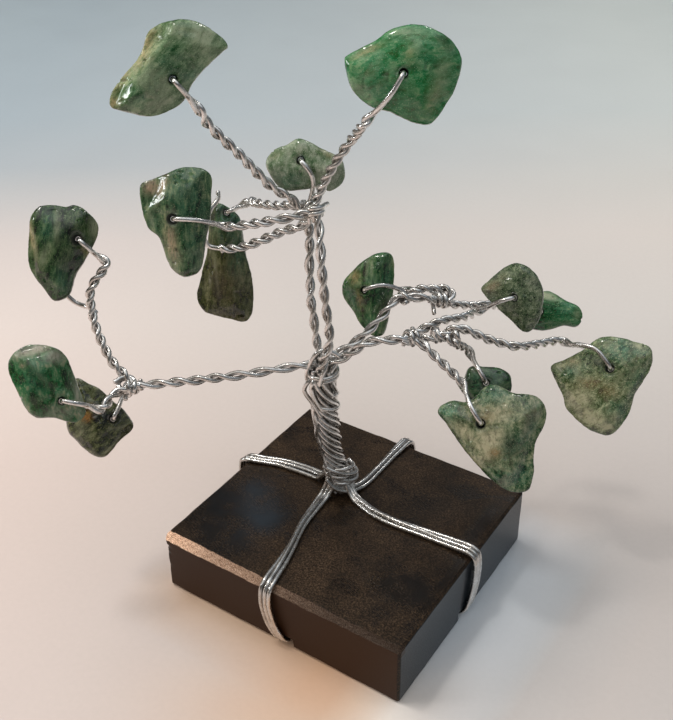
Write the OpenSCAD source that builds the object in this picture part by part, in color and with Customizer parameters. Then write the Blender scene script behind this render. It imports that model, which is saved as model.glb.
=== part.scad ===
// Gemstone wire tree of life: a twisted silver wire trunk on a polished black
// stone block, with tumbled green stone chips looped on at the tips of the twigs.
// Millimetres, +Z up. The origin is the centre of the block's underside.

/* [Stone block] */
// Size of the block along X
block_x = 50; // [40:0.5:80]
// Size of the block along Y
block_y = 46.5; // [40:0.5:80]
// Height of the block
block_h = 12.7; // [8:0.1:25]
// Width of the small chamfer round the top and down the corners
edge_chamfer = 0.5; // [0.2:0.1:1.5]
// Width of the broad ground chamfer along the front top edge
front_chamfer = 1.3; // [0.4:0.1:3]
// Width of the four slots in the underside that take the wire ends
groove_w = 4.6; // [3:0.1:8]
// Depth of the slots
groove_d = 2.2; // [1.6:0.1:4]
// Length of the slots, in from each side
groove_l = 12; // [8:0.5:18]

/* [Wire] */
// Diameter of the wire
wire_d = 0.8; // [0.5:0.05:1]
// Distance between the two strands of a twisted pair, centre to centre
pair_gap = 1; // [0.9:0.05:1.3]
// Length of one full turn of a twisted pair
twist_pitch = 7; // [5:0.5:12]
// Distance between the three strands of a root, centre to centre
root_gap = 0.9; // [0.85:0.05:1.2]

/* [Trunk] */
// Overall radius of the twisted trunk, as a share of its drawn size
trunk_scale = 1; // [0.8:0.01:1]
// Number of strands that show round the trunk
trunk_strands = 12; // [8:1:16]
// Turn of the strands from the foot to the crown, in degrees
trunk_twist = 400; // [180:10:720]

/* [Stone chips] */
// Diameter of the drilled hole in each chip
hole_d = 1.3; // [1.1:0.05:1.8]
// Facets round the edge of each tumbled chip
chip_fn = 12; // [10:2:20]

/* [Hidden] */
wr = wire_d / 2;
sides = 6;
turn_steps = 6;               // rings in one full turn of a twisted pair
groove_x = 1.3;               // the front and rear slots are a little off centre
crown = [-7.3, 3.3, 40];      // top of the trunk
crown_r = 1.7;                // the ten strands leave the trunk on this circle

stone_black = [0.10, 0.09, 0.085];
silver = [0.76, 0.75, 0.73];

// ---------- vectors and paths ----------
function unit(v) = v / norm(v);
function last(v) = v[len(v) - 1];
// one span of a curve through a, b, c, d at t from 0 (b) to 1 (c)
function span(a, b, c, d, t) =
  0.5 * ((2 * b) + (c - a) * t + (2 * a - 5 * b + 4 * c - d) * t * t + (3 * b - a - 3 * c + d) * t * t * t);
// a smooth curve through the points p, in steps of about s
function smooth(p, s) = concat(
  [for (i = [0 : len(p) - 2])
    let (a = i == 0 ? 2 * p[0] - p[1] : p[i - 1],
         d = i == len(p) - 2 ? 2 * p[i + 1] - p[i] : p[i + 2],
         n = max(1, round(norm(p[i + 1] - p[i]) / s)))
    for (k = [0 : n - 1]) span(a, p[i], p[i + 1], d, k / n)],
  [last(p)]);
function tangents(p) = [for (i = [0 : len(p) - 1])
  unit(p[min(i + 1, len(p) - 1)] - p[max(i - 1, 0)])];
function side_of(t) = unit(abs(t[2]) < 0.8 ? cross(t, [0, 0, 1]) : cross(t, [0, 1, 0]));
// normals that turn as little as they can along the path
function normals(t) = [for (i = 0, n = side_of(t[0]); i < len(t);
  i = i + 1, n = i < len(t) ? unit(n - (n * t[i]) * t[i]) : n) n];
function lengths(p) = [for (i = 0, s = 0; i < len(p);
  s = i < len(p) - 1 ? s + norm(p[i + 1] - p[i]) : s, i = i + 1) s];
// one strand that winds round the path p: angles ph, distance r off the path
function strand(p, n, t, s, ph, r) = [for (i = [0 : len(p) - 1])
  let (a = ph + 360 * s[i] / twist_pitch)
  p[i] + r * (cos(a) * n[i] + sin(a) * cross(t[i], n[i]))];

// a round wire along a list of points, closed at both ends
module tube(p, r = wr, m = sides) {
  t = tangents(p);
  n = normals(t);
  k = len(p);
  pts = [for (i = [0 : k - 1]) let (b = cross(t[i], n[i])) for (j = [0 : m - 1])
    p[i] + r * (cos(360 * j / m) * n[i] + sin(360 * j / m) * b)];
  polyhedron(points = pts, faces = concat(
    [[for (j = [0 : m - 1]) j]],
    [for (i = [0 : k - 2]) for (j = [0 : m - 1]) let (q = (j + 1) % m)
      each [[i * m + j, (i + 1) * m + j, (i + 1) * m + q], [i * m + j, (i + 1) * m + q, i * m + q]]],
    [[for (j = [m - 1 : -1 : 0]) (k - 1) * m + j]]));
}

// ---------- the stone block ----------
module top_chamfer(size, length, x) {
  translate([x, 0, block_h]) rotate([0, 45, 0])
    cube([size * sqrt(2), length, size * sqrt(2)], center = true);
}

module base_block() {
  color(stone_black) difference() {
    translate([-block_x / 2, -block_y / 2, 0]) cube([block_x, block_y, block_h]);
    top_chamfer(edge_chamfer, block_y + 2, block_x / 2);
    top_chamfer(edge_chamfer, block_y + 2, -block_x / 2);
    rotate([0, 0, 90]) top_chamfer(edge_chamfer, block_x + 2, block_y / 2);
    rotate([0, 0, 90]) top_chamfer(front_chamfer, block_x + 2, -block_y / 2);
    for (sx = [-1, 1], sy = [-1, 1])
      translate([sx * block_x / 2, sy * block_y / 2, block_h / 2]) rotate([0, 0, 45])
        cube([edge_chamfer * sqrt(2), edge_chamfer * sqrt(2), block_h + 2], center = true);
    for (sy = [-1, 1]) translate([groove_x, sy * (block_y / 2 - groove_l / 2 + 0.5), groove_d / 2 - 0.5])
      cube([groove_w, groove_l + 1, groove_d + 1], center = true);
    for (sx = [-1, 1]) translate([sx * (block_x / 2 - groove_l / 2 + 0.5), 0, groove_d / 2 - 0.5])
      cube([groove_l + 1, groove_w, groove_d + 1], center = true);
  }
}

// ---------- the trunk ----------
// centre line and radius of the trunk from the foot to the crown
trunk_line = [
  [-4.9, 5, 12.8, 2.3], [-4.8, 5, 14.2, 2.6], [-4.9, 4.9, 16, 2.5], [-5.5, 4.4, 18.5, 2.2],
  [-6.2, 3.9, 22, 2.05], [-6.6, 3.7, 27, 2.1], [-6.9, 3.5, 32.5, 2.3], [-7.2, 3.4, 36.5, 2.5],
  [-7.3, 3.3, 38.5, 2.6], [-7.3, 3.3, 40, 2.6]
];

module trunk_twist() {
  c = smooth(trunk_line, 1);
  k = len(c);
  m = 2 * trunk_strands;
  pts = [for (i = [0 : k - 1]) for (j = [0 : m - 1])
    let (a = 360 * j / m - trunk_twist * i / (k - 1),
         r = c[i][3] * trunk_scale * (j % 2 == 0 ? 1 : 0.9))
    [c[i][0] + r * cos(a), c[i][1] + r * sin(a), c[i][2]]];
  color(silver) polyhedron(points = pts, faces = concat(
    [[for (j = [m - 1 : -1 : 0]) j]],
    [for (i = [0 : k - 2]) for (j = [0 : m - 1]) let (q = (j + 1) % m)
      each [[i * m + j, i * m + q, (i + 1) * m + q], [i * m + j, (i + 1) * m + q, (i + 1) * m + j]]],
    [[for (j = [0 : m - 1]) (k - 1) * m + j]]));
}

// a wire wound one and three quarter turns round the trunk under the crown
module crown_binding() {
  turns = 1.75;
  n = 28;
  color(silver) tube([for (i = [0 : n]) let (a = 360 * turns * i / n)
    [crown[0] + 3.12 * cos(a), crown[1] + 3.12 * sin(a), 37.2 + 1.0 * turns * i / n]]);
}

// ---------- the roots ----------
// Each root is three strands side by side: [x, y, z, sideways x, sideways y]
root_left_line = [
  [-8.1, 5.6, 15.4, 0.2, 1], [-9, 5.9, 13.8, 0.1, 1], [-11.5, 6.3, 13.2, -0.1, 1], [-18.5, 5.5, 13.2, 0.2, 1],
  [-23.8, 4, 13.2, 0.3, 1], [-25.3, 3.5, 12.9, 0.2, 1], [-25.6, 3.2, 11.6, 0, 1], [-25.5, 1.6, 6, 0, 1],
  [-25.6, 0.7, 2.7, 0, 1], [-25.3, 0.5, 1.3, 0, 1], [-24, 0.3, 0.8, 0, 1], [-18, 0, 0.8, 0, 1]
];
root_front_line = [
  [-5.4, 1.8, 15.2, -1, 0], [-5.3, 0.9, 13.8, -1, 0.1], [-5.1, -1, 13.2, -1, -0.1], [-4.4, -8, 13.2, -1, -0.1],
  [-3.1, -16, 13.2, -1, -0.2], [-2.6, -21.6, 13.2, -1, -0.1], [-2.4, -23.2, 12.9, -1, 0], [-2.3, -23.9, 11.6, -1, 0],
  [-2, -23.8, 8.5, -1, 0], [-0.6, -23.8, 4.6, -1, 0], [0.6, -23.9, 2.9, -1, 0], [1.1, -23.5, 1.5, -1, 0],
  [1.3, -22.3, 0.9, -1, 0], [1.3, -16, 0.9, -1, 0]
];
root_right_line = [
  [-1.7, 4.2, 15.2, 0.2, -1], [-0.7, 3.7, 13.8, 0.1, -1], [1.5, 2.9, 13.2, 0, -1], [8.5, 2, 13.2, 0, -1],
  [16, 2.2, 13.2, 0, -1], [22.5, 2.4, 13.4, 0.1, -1], [25.4, 2.3, 13.3, 0, -1], [26.2, 2.4, 11.5, 0, -1],
  [26.2, 2.5, 7, 0, -1], [25.7, 1, 2.9, 0, -1], [25.2, 0.4, 1.5, 0, -1], [24, 0.2, 0.9, 0, -1], [18, 0, 0.9, 0, -1]
];
root_back_line = [
  [-2.6, 7.4, 15.2, 1, -0.8], [-2, 8.2, 13.8, 1, -0.7], [-1.1, 10, 13.2, 1, -0.3], [-0.8, 15, 13.2, 1, 0],
  [-1.4, 21.8, 13.2, 1, 0.1], [-1.5, 23.4, 12.9, 1, 0], [-1.4, 23.8, 11.6, 1, 0], [-0.6, 23.8, 7, 1, 0],
  [0.9, 23.9, 2.7, 1, 0], [1.2, 23.5, 1.3, 1, 0], [1.3, 22.3, 0.8, 1, 0], [1.3, 16, 0.8, 1, 0]
];

module root(line, k) {
  c = smooth(line, 2.4);
  color(silver) tube([for (q = c) [q[0], q[1], q[2]] + k * root_gap * unit([q[3], q[4], 0])]);
}

// ---------- twisted pairs ----------
// the place on the trunk's top that a bough leaves from, at angle a
function crown_at(a, z) = [crown[0] + crown_r * cos(a), crown[1] + crown_r * sin(a), crown[2] + z];

// two strands twisted together along a route; ph turns the twist
module pair(route, ph) {
  p = smooth(route, twist_pitch / turn_steps);
  t = tangents(p);
  n = normals(t);
  s = lengths(p);
  color(silver) {
    tube(strand(p, n, t, s, ph, pair_gap / 2));
    tube(strand(p, n, t, s, ph + 180, pair_gap / 2));
  }
}

bough_left_line = [crown_at(221, 0.05), crown_at(221, 1), [-11.5, -1, 41.6], [-17.5, -7.2, 41.3],
  [-23.5, -13.4, 41.5], [-30.3, -19.6, 41.5]];
bough_rear_line = [crown_at(149, 0.05), crown_at(149, 1.5), [-9.5, 4.5, 46], [-11, 5.5, 54],
  [-12, 7, 61], [-12.6, 7.7, 66.2]];
bough_front_line = [crown_at(293, 0.05), crown_at(293, 1.5), [-5.8, 1.6, 44], [-4.7, 1.8, 48],
  [-5.5, 2, 54.5], [-6.5, 2.5, 62.5], [-8.4, 4.7, 68.2]];
bough_upper_line = [crown_at(77, 0.05), crown_at(77, 1.3), [-5.5, 6.5, 42.8], [-3, 10, 45.2],
  [-1.5, 14.5, 48], [-0.5, 17.5, 49.8], [2.5, 20.5, 49.5], [5.4, 23.9, 47.9]];
bough_lower_line = [crown_at(5, 0.05), crown_at(5, 1.3), [-4, 4.4, 43], [-1.5, 5, 45.5],
  [0.5, 6.5, 47], [4, 8.5, 47.5], [6.3, 11.2, 47]];

// ---------- chips and the wires that hold them ----------
// Each row: hole centre, direction that the drilled face looks (turn about Z, then up),
// direction of the twig in the chip's own plane, distance to where the twist begins,
// half width of the loop, then the balls that shape the tumbled stone: [x, y, z, radius]
chips = [
  [[-24, -9.5, 93], -45, 15, -54, 4.4, 2.8,
   [[1.5, 6.5, 0, 1.5], [5.5, 5.2, 0.3, 1.3], [7, 4, 0, 1.1], [0.8, -1.6, 0.1, 1.6], [-4, -3.3, 0, 1.5],
    [-7.8, -2.4, 0.2, 1.2], [-1.5, 5.6, 0, 1.5], [-1.5, 2.5, 0, 2.5]]],
  [[4.5, 9, 93.5], -60, 20, -128, 7.8, 3.2,
   [[-7.2, 1.2, 0, 1.3], [-1.5, 4.2, 0.2, 1.6], [2, 5, 0, 1.6], [5.5, 3.8, 0, 1.5], [6.8, 1.8, 0.3, 1.4],
    [5.5, -2.5, 0, 1.6], [3.2, -5.3, 0.2, 1.5], [-5, -2.5, 0, 1.5], [1, 0, 0, 2.5]]],
  [[-13.7, 7.7, 76.6], -55, 20, -77, 6.2, 2.9,
   [[-4, -0.8, 0, 1.4], [-2, 0.8, 0, 1.4], [0.3, 1.7, 0, 1.4], [4.8, -1, 0, 1.5], [5, -2.8, 0.2, 1.4],
    [3.8, -3.5, 0, 1.3], [-2, -3.3, 0, 1.4], [1, -1, 0, 2.2]]],
  [[-28, -8.5, 69], -45, 25, -13, 7.8, 3.2,
   [[-3, 4.8, 0, 1.4], [2, 6.3, 0.2, 1.5], [5.3, 5.6, 0, 1.4], [4.4, 0.5, 0, 1.5], [2.8, -6, 0, 1.4],
    [0.8, -7.8, 0, 1.4], [-0.5, -5, 0, 1.4], [-3.2, 1.5, 0, 1.5], [1, 1, 0, 2.5]]],
  [[-28.6, 5.6, 64.4], -50, 25, 76, 4.2, 2.4,
   [[-0.9, 0.2, 0, 1.4], [0.9, -0.6, 0, 1.4], [1.5, -3, 0, 1.4], [2.3, -12, 0, 1.4], [2, -16.2, 0.2, 1.6],
    [0.5, -17.2, 0, 1.5], [-3.8, -15, 0, 1.6], [-4.2, -11, 0, 1.6], [-1.8, -4, 0, 1.5], [-0.8, -12, 0, 2.5]]],
  [[-43, -16, 64.5], -40, 25, -51, 4.6, 2.7,
   [[-5.5, 4, 0, 1.4], [-4, 4.5, 0.2, 1.5], [0.3, 4.2, 0, 1.4], [2, 2, 0, 1.4], [1.2, -0.4, 0, 1.3],
    [-2.8, -7, 0, 1.5], [-4.8, -8, 0, 1.4], [-7, -3.5, 0, 1.4], [-3.2, 0, 0, 2.6]]],
  [[-35.5, -31.5, 43.5], -35, 35, -24, 5.2, 2.6,
   [[-5, 8, 0, 1.5], [-2.5, 8.5, 0.2, 1.5], [0.3, 7.2, 0, 1.4], [1.3, 4, 0, 1.4], [1.8, -1.2, 0, 1.4],
    [1, -2.1, 0, 1.4], [-3.6, -0.5, 0, 1.4], [-5.4, 4, 0, 1.5], [-2, 4, 0, 2.5]]],
  [[-36, -21, 33], -40, 35, 58, 4.8, 2.7,
   [[-5.3, 6, 0, 1.4], [-2, 4.4, 0, 1.4], [1, 0.8, 0, 1.4], [1.6, -1.6, 0, 1.4], [-2, -4.5, 0, 1.5],
    [-4.5, -4, 0, 1.4], [-6.3, 0, 0, 1.5], [-2.7, 0.5, 0, 2.4]]],
  [[-7.5, 17.5, 49.5], -60, 30, 0, 6.8, 3,
   [[-2.4, 0.8, 0, 1.4], [1, 4.3, 0, 1.5], [3.4, 5, 0, 1.5], [3.9, 2, 0, 1.4], [3.6, -2, 0, 1.4],
    [2.8, -6.6, 0, 1.5], [1.6, -6.6, 0, 1.4], [-1.6, -2, 0, 1.4], [1.2, 0, 0, 2.3]]],
  [[16, 31, 48.5], -70, 30, -153, 5.8, 2.9,
   [[-4, 0.9, 0, 1.3], [-2.2, 3.2, 0, 1.5], [0.6, 4.6, 0, 1.5], [3.2, 2.8, 0, 1.5], [3.8, 0, 0, 1.5],
    [3.4, -3.5, 0, 1.4], [1.8, -4.2, 0, 1.3], [-2.3, -0.6, 0, 1.4], [0.6, 0.3, 0, 2.3]]],
  [[18, 39.5, 42], -70, 30, 177, 4.6, 2.6,
   [[-1.4, 1.5, 0, 1.2], [0.6, 2.5, 0, 1.3], [5.8, 0.8, 0, 1.3], [6.3, -0.6, 0, 1.3], [4, -1, 0, 1.3],
    [0.4, -2.1, 0, 1.3], [-1.4, -1.5, 0, 1.2], [2.5, 0.2, 0, 1.9]]],
  [[34.5, 34, 38], -75, 35, 160, 8.8, 3.2,
   [[-8.4, -1.2, 0, 1.3], [-3.4, 2.8, 0, 1.5], [-1, 4.2, 0.2, 1.6], [4.8, 3.6, 0, 1.5], [5.4, 1, 0, 1.5],
    [3.2, -6, 0, 1.6], [0.8, -10.3, 0, 1.5], [-1.6, -10, 0, 1.5], [-5.4, -7, 0, 1.5], [-0.5, -3.5, 0, 2.6]]],
  [[22, 7.5, 37.5], -65, 35, 120, 6.4, 3,
   [[-5.8, 1.2, 0, 1.4], [-0.5, 2.6, 0, 1.5], [1.8, 5.2, 0.2, 1.5], [8, 4.2, 0, 1.5], [9, 2, 0, 1.5],
    [7.8, -3, 0, 1.5], [7.4, -9, 0, 1.6], [5.2, -9.4, 0, 1.4], [-1, -4, 0, 1.5], [3.5, -1.5, 0, 2.6]]],
  [[18.5, 16, 39.5], -65, 35, 123, 5.2, 2.7,
   [[-2.2, 1.3, 0, 1.3], [0, 1.5, 0, 1.3], [2.4, 1.2, 0, 1.3], [3, -0.8, 0, 1.3], [1.8, -3.2, 0, 1.3],
    [0, -3.8, 0, 1.3], [-2.4, -1.2, 0, 1.3], [0.4, -0.8, 0, 1.9]]]
];

// green of each chip, from dark olive to bright
greens = [
  [0.16, 0.34, 0.20], [0.10, 0.42, 0.22], [0.20, 0.36, 0.24], [0.15, 0.30, 0.19], [0.17, 0.24, 0.16],
  [0.12, 0.30, 0.18], [0.08, 0.32, 0.17], [0.15, 0.25, 0.17], [0.08, 0.36, 0.22], [0.18, 0.26, 0.18],
  [0.14, 0.40, 0.28], [0.28, 0.38, 0.26], [0.34, 0.40, 0.32], [0.08, 0.30, 0.19]
];

// routes of the twigs, from the fork towards the chip; the last part is added by twig()
twig_lines = [
  [[-12.8, 5.2, 69.6], [-13.5, 4, 71.5], [-15.5, 1.5, 74], [-18, -2.5, 80], [-20.6, -6.2, 85.5]],
  [[-9.4, 5.6, 71.2], [-8.6, 5.6, 73.2], [-6.3, 5.4, 77.4], [-3, 6, 82.5]],
  [[-11.9, 7.6, 69.2]],
  [[-10.5, 3.2, 69.5], [-11.7, 1.3, 69.3], [-14.5, -1.3, 69]],
  [[-14.3, 8.2, 68.6], [-17.5, 8, 68.2], [-22.5, 7.4, 68.6]],
  [[-32, -19.8, 42.9], [-34.8, -20.2, 45.2], [-37.4, -19.8, 49], [-39.2, -19, 53], [-39.8, -17.8, 57]],
  [[-31.6, -21.7, 41.3], [-31.8, -24, 41.4]],
  [[-32, -20.4, 39.7]],
  [[5, 25.6, 49.6], [1.5, 22.1, 50.2]],
  [[7.9, 14.9, 48.5], [9.2, 18, 48.3], [10.6, 22, 47.3]],
  [[5.9, 24.5, 47.2], [8, 28, 46], [10.2, 31.5, 45]],
  [[9.6, 13.5, 47.3], [12, 16, 48.5], [13.3, 17.2, 48], [16, 19, 46.5], [18.5, 20.7, 45.2], [21.5, 23.5, 44]],
  [[8.5, 11.2, 46.5], [11.3, 10.8, 45.2]],
  [[13, 14.4, 46.6]]
];
twig_phase = [0, 40, 0, 80, 20, 60, 0, 0, 30, 0, 90, 0, 50, 0];

function face_x(c) = [-sin(c[1]), cos(c[1]), 0];
function face_n(c) = [cos(c[2]) * cos(c[1]), cos(c[2]) * sin(c[1]), sin(c[2])];
function face_y(c) = cross(face_n(c), face_x(c));
// unit vector from the hole towards the twig
function tip_dir(c) = cos(c[3]) * face_x(c) + sin(c[3]) * face_y(c);
// the loop from the twist to the middle of the hole, as [along the twig, off the face]
function half_loop(d, h) = concat(
  [[d - 0.85, 1.25], [d - 1.9, min(h, 2.15)]],
  d > 5 ? [[(d - 1) / 2, h]] : [],
  [[0.95, h], [0.22, h - 0.32], [0, h - 1.1]]);

// wire node: twisted out from the fork, through the chip's hole and twisted back
module twig(i) {
  c = chips[i];
  q = tip_dir(c);
  z = face_n(c);
  end = c[0] + c[4] * q;
  p = smooth(concat(twig_lines[i], [end + 1.6 * q, end]), twist_pitch / turn_steps);
  t = tangents(p);
  n = normals(t);
  s = lengths(p);
  nl = last(n);
  ph = atan2(z * cross(last(t), nl), z * nl) - 360 * last(s) / twist_pitch;
  out = strand(p, n, t, s, ph, pair_gap / 2);
  back = strand(p, n, t, s, ph + 180, pair_gap / 2);
  half = half_loop(c[4], c[5]);
  up = [for (v = half) c[0] + v[0] * q + v[1] * z];
  down = [for (v = half) c[0] + v[0] * q - v[1] * z];
  loop = smooth(concat([last(out)], up, [c[0]], [for (j = [len(down) - 1 : -1 : 0]) down[j]], [last(back)]), 0.75);
  m = len(back);
  color(silver) tube(concat([for (j = [0 : m - 2]) out[j]], loop, [for (j = [m - 2 : -1 : 0]) back[j]]));
}

// the drilled, tumbled chip; it swings on the wire about its hole
module gem_chip(i) {
  c = chips[i];
  color(greens[i]) translate(c[0]) rotate([90 - c[2], 0, c[1] + 90]) difference() {
    hull() for (b = c[6]) translate([b[0], b[1], b[2]]) sphere(r = b[3], $fn = chip_fn);
    cylinder(d = hole_d, h = 12, center = true, $fn = 32);
  }
}

// a spare length of twist behind chip 4 whose free strand arches up to the twig above
module twig_spare_loop() {
  pair([[-13.3, 5.2, 65.6], [-15, 4.3, 65], [-19, 2.1, 63.7], [-21.3, 1.2, 62.3], [-23.5, 0, 60.8], [-26.2, -1.4, 60.8]], 0);
  color(silver) tube(smooth([[-27.2, -1.8, 61], [-27.9, -2.2, 62.2], [-27.9, -2, 64.5], [-27.4, -1, 67],
    [-26.8, 1.4, 68.6], [-25.8, 3.6, 69]], 1.2));
}

base_block();
trunk_twist();
crown_binding();
root(root_left_line, -1);  // root_left_1
root(root_left_line, 0);  // root_left_2
root(root_left_line, 1);  // root_left_3
root(root_front_line, -1);  // root_front_1
root(root_front_line, 0);  // root_front_2
root(root_front_line, 1);  // root_front_3
root(root_right_line, -1);  // root_right_1
root(root_right_line, 0);  // root_right_2
root(root_right_line, 1);  // root_right_3
root(root_back_line, -1);  // root_back_1
root(root_back_line, 0);  // root_back_2
root(root_back_line, 1);  // root_back_3
pair(bough_left_line, 131);  // bough_left
pair(bough_rear_line, 59);  // bough_rear_stem
pair(bough_front_line, 203);  // bough_front_stem
pair(bough_upper_line, 347);  // bough_right_upper
pair(bough_lower_line, 275);  // bough_right_lower
twig(0);  // twig_wire_01
twig(1);  // twig_wire_02
twig(2);  // twig_wire_03
twig(3);  // twig_wire_04
twig(4);  // twig_wire_05
twig(5);  // twig_wire_06
twig(6);  // twig_wire_07
twig(7);  // twig_wire_08
twig(8);  // twig_wire_09
twig(9);  // twig_wire_10
twig(10);  // twig_wire_11
twig(11);  // twig_wire_12
twig(12);  // twig_wire_13
twig(13);  // twig_wire_14
twig_spare_loop();
gem_chip(0);  // gem_chip_01
gem_chip(1);  // gem_chip_02
gem_chip(2);  // gem_chip_03
gem_chip(3);  // gem_chip_04
gem_chip(4);  // gem_chip_05
gem_chip(5);  // gem_chip_06
gem_chip(6);  // gem_chip_07
gem_chip(7);  // gem_chip_08
gem_chip(8);  // gem_chip_09
gem_chip(9);  // gem_chip_10
gem_chip(10);  // gem_chip_11
gem_chip(11);  // gem_chip_12
gem_chip(12);  // gem_chip_13
gem_chip(13);  // gem_chip_14
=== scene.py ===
import bpy
import math
import numpy as np
from mathutils import Matrix, Vector


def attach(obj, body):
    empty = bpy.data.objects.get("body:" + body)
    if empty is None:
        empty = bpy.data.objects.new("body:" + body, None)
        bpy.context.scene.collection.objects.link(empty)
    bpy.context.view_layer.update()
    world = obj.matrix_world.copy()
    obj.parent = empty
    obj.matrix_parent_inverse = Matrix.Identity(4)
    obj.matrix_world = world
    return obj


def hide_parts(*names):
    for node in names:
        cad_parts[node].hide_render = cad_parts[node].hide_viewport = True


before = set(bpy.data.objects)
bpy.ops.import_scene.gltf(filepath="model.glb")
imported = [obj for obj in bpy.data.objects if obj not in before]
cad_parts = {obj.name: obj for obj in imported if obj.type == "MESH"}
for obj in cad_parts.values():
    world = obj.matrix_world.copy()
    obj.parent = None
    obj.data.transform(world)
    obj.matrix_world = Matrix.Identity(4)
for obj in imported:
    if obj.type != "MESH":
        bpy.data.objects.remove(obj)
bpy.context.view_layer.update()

MM = 0.001
WIRE_R = 0.41          # radius of the wire, mm
PAIR_GAP = 0.96        # centre to centre in a twisted pair
SCENE = bpy.context.scene


# ---------------------------------------------------------------- numbers
def unit(v):
    v = np.asarray(v, float)
    return v / np.linalg.norm(v)


def lattice(i, j, k, seed):
    n = (i * 73856093) ^ (j * 19349663) ^ (k * 83492791) ^ (seed * 265443576)
    n &= 0x7FFFFFFF
    n = ((n ^ (n >> 13)) * 1274126177) & 0x7FFFFFFF
    n = ((n ^ (n >> 11)) * 668265263) & 0x7FFFFFFF
    return n / float(0x7FFFFFFF)


def noise3(p, seed=0):
    """smooth value noise from -1 to 1 at points p (n, 3)"""
    p = np.asarray(p, float)
    f = np.floor(p)
    u = p - f
    u = u * u * (3 - 2 * u)
    i, j, k = (f[:, a].astype(np.int64) for a in range(3))
    v = 0.0
    for a in (0, 1):
        for b in (0, 1):
            for c in (0, 1):
                w = (u[:, 0] if a else 1 - u[:, 0]) * (u[:, 1] if b else 1 - u[:, 1]) * (u[:, 2] if c else 1 - u[:, 2])
                v = v + w * lattice(i + a, j + b, k + c, seed)
    return 2 * v - 1


def fbm(p, seed=0, octaves=3, gain=0.5):
    p = np.asarray(p, float)
    total, amp = 0.0, 1.0
    for o in range(octaves):
        total = total + amp * noise3(p * 2 ** o + 17.3 * o, seed + o)
        amp *= gain
    return total


def noise1(s, seed=0, scale=1.0):
    s = np.asarray(s, float)
    return noise3(np.stack([s / scale, np.full_like(s, seed * 3.17), np.full_like(s, 0.5)], 1), seed)


def smoothstep(a, b, x):
    t = np.clip((x - a) / (b - a), 0, 1)
    return t * t * (3 - 2 * t)


# ---------------------------------------------------------------- curves
def smooth(points, step):
    """a curve through the points, sampled about every step"""
    p = np.asarray(points, float)
    q = np.vstack([2 * p[0] - p[1], p, 2 * p[-1] - p[-2]])
    out = []
    for i in range(len(p) - 1):
        a, b, c, d = q[i], q[i + 1], q[i + 2], q[i + 3]
        n = max(1, int(round(np.linalg.norm(c - b) / step)))
        t = (np.arange(n) / n)[:, None]
        out.append(0.5 * ((2 * b) + (c - a) * t + (2 * a - 5 * b + 4 * c - d) * t * t + (3 * b - a - 3 * c + d) * t ** 3))
    out.append(p[-1:])
    return np.vstack(out)


def closed_smooth(points, n):
    p = np.asarray(points, float)
    k = len(p)
    out = []
    for i in range(k):
        a, b, c, d = p[i - 1], p[i], p[(i + 1) % k], p[(i + 2) % k]
        t = (np.arange(24) / 24)[:, None]
        out.append(0.5 * ((2 * b) + (c - a) * t + (2 * a - 5 * b + 4 * c - d) * t * t + (3 * b - a - 3 * c + d) * t ** 3))
    q = np.vstack(out)
    for _ in range(10):
        q = 0.5 * q + 0.25 * (np.roll(q, 1, 0) + np.roll(q, -1, 0))
    return even(np.vstack([q, q[:1]]), n=n + 1)[:-1]


def lengths(p):
    return np.concatenate([[0], np.cumsum(np.linalg.norm(np.diff(p, axis=0), axis=1))])


def even(p, step=None, n=None):
    s = lengths(p)
    if n is None:
        n = max(3, int(round(s[-1] / step)) + 1)
    t = np.linspace(0, s[-1], n)
    return np.stack([np.interp(t, s, p[:, a]) for a in range(p.shape[1])], 1)


def relax(p, rounds):
    p = p.copy()
    for _ in range(rounds):
        p[1:-1] = 0.5 * p[1:-1] + 0.25 * (p[:-2] + p[2:])
    return p


def frames(p):
    t = np.gradient(p, axis=0)
    t /= np.linalg.norm(t, axis=1)[:, None]
    v = np.cross(t[0], [0, 0, 1]) if abs(t[0][2]) < 0.8 else np.cross(t[0], [0, 1, 0])
    v /= np.linalg.norm(v)
    n = np.empty_like(p)
    for i in range(len(p)):
        v = v - (v @ t[i]) * t[i]
        v /= np.linalg.norm(v)
        n[i] = v
    return t, n, np.cross(t, n)


def jitter(p, amount, scale, seed):
    """a hand-bent line: small smooth sideways wander"""
    s = lengths(p)
    t, n, b = frames(p)
    return p + amount * (noise1(s, seed, scale)[:, None] * n + noise1(s, seed + 50, scale)[:, None] * b)


# ---------------------------------------------------------------- meshes
def link(name, verts, faces, material, body, nodes, matrix=None, smooth_shade=True, attrs=None):
    mesh = bpy.data.meshes.new(name)
    mesh.from_pydata([tuple(v) for v in (np.asarray(verts) * MM)], [], faces)
    mesh.validate()
    mesh.polygons.foreach_set("use_smooth", [smooth_shade] * len(mesh.polygons))
    for key, value in (attrs or {}).items():
        a = mesh.attributes.new(key, "FLOAT", "POINT")
        a.data.foreach_set("value", np.asarray(value, np.float32))
    mesh.materials.append(material)
    mesh.update()
    obj = bpy.data.objects.new(name, mesh)
    SCENE.collection.objects.link(obj)
    if matrix is not None:
        obj.matrix_world = matrix
    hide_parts(*nodes)
    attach(obj, body)
    return obj


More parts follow.
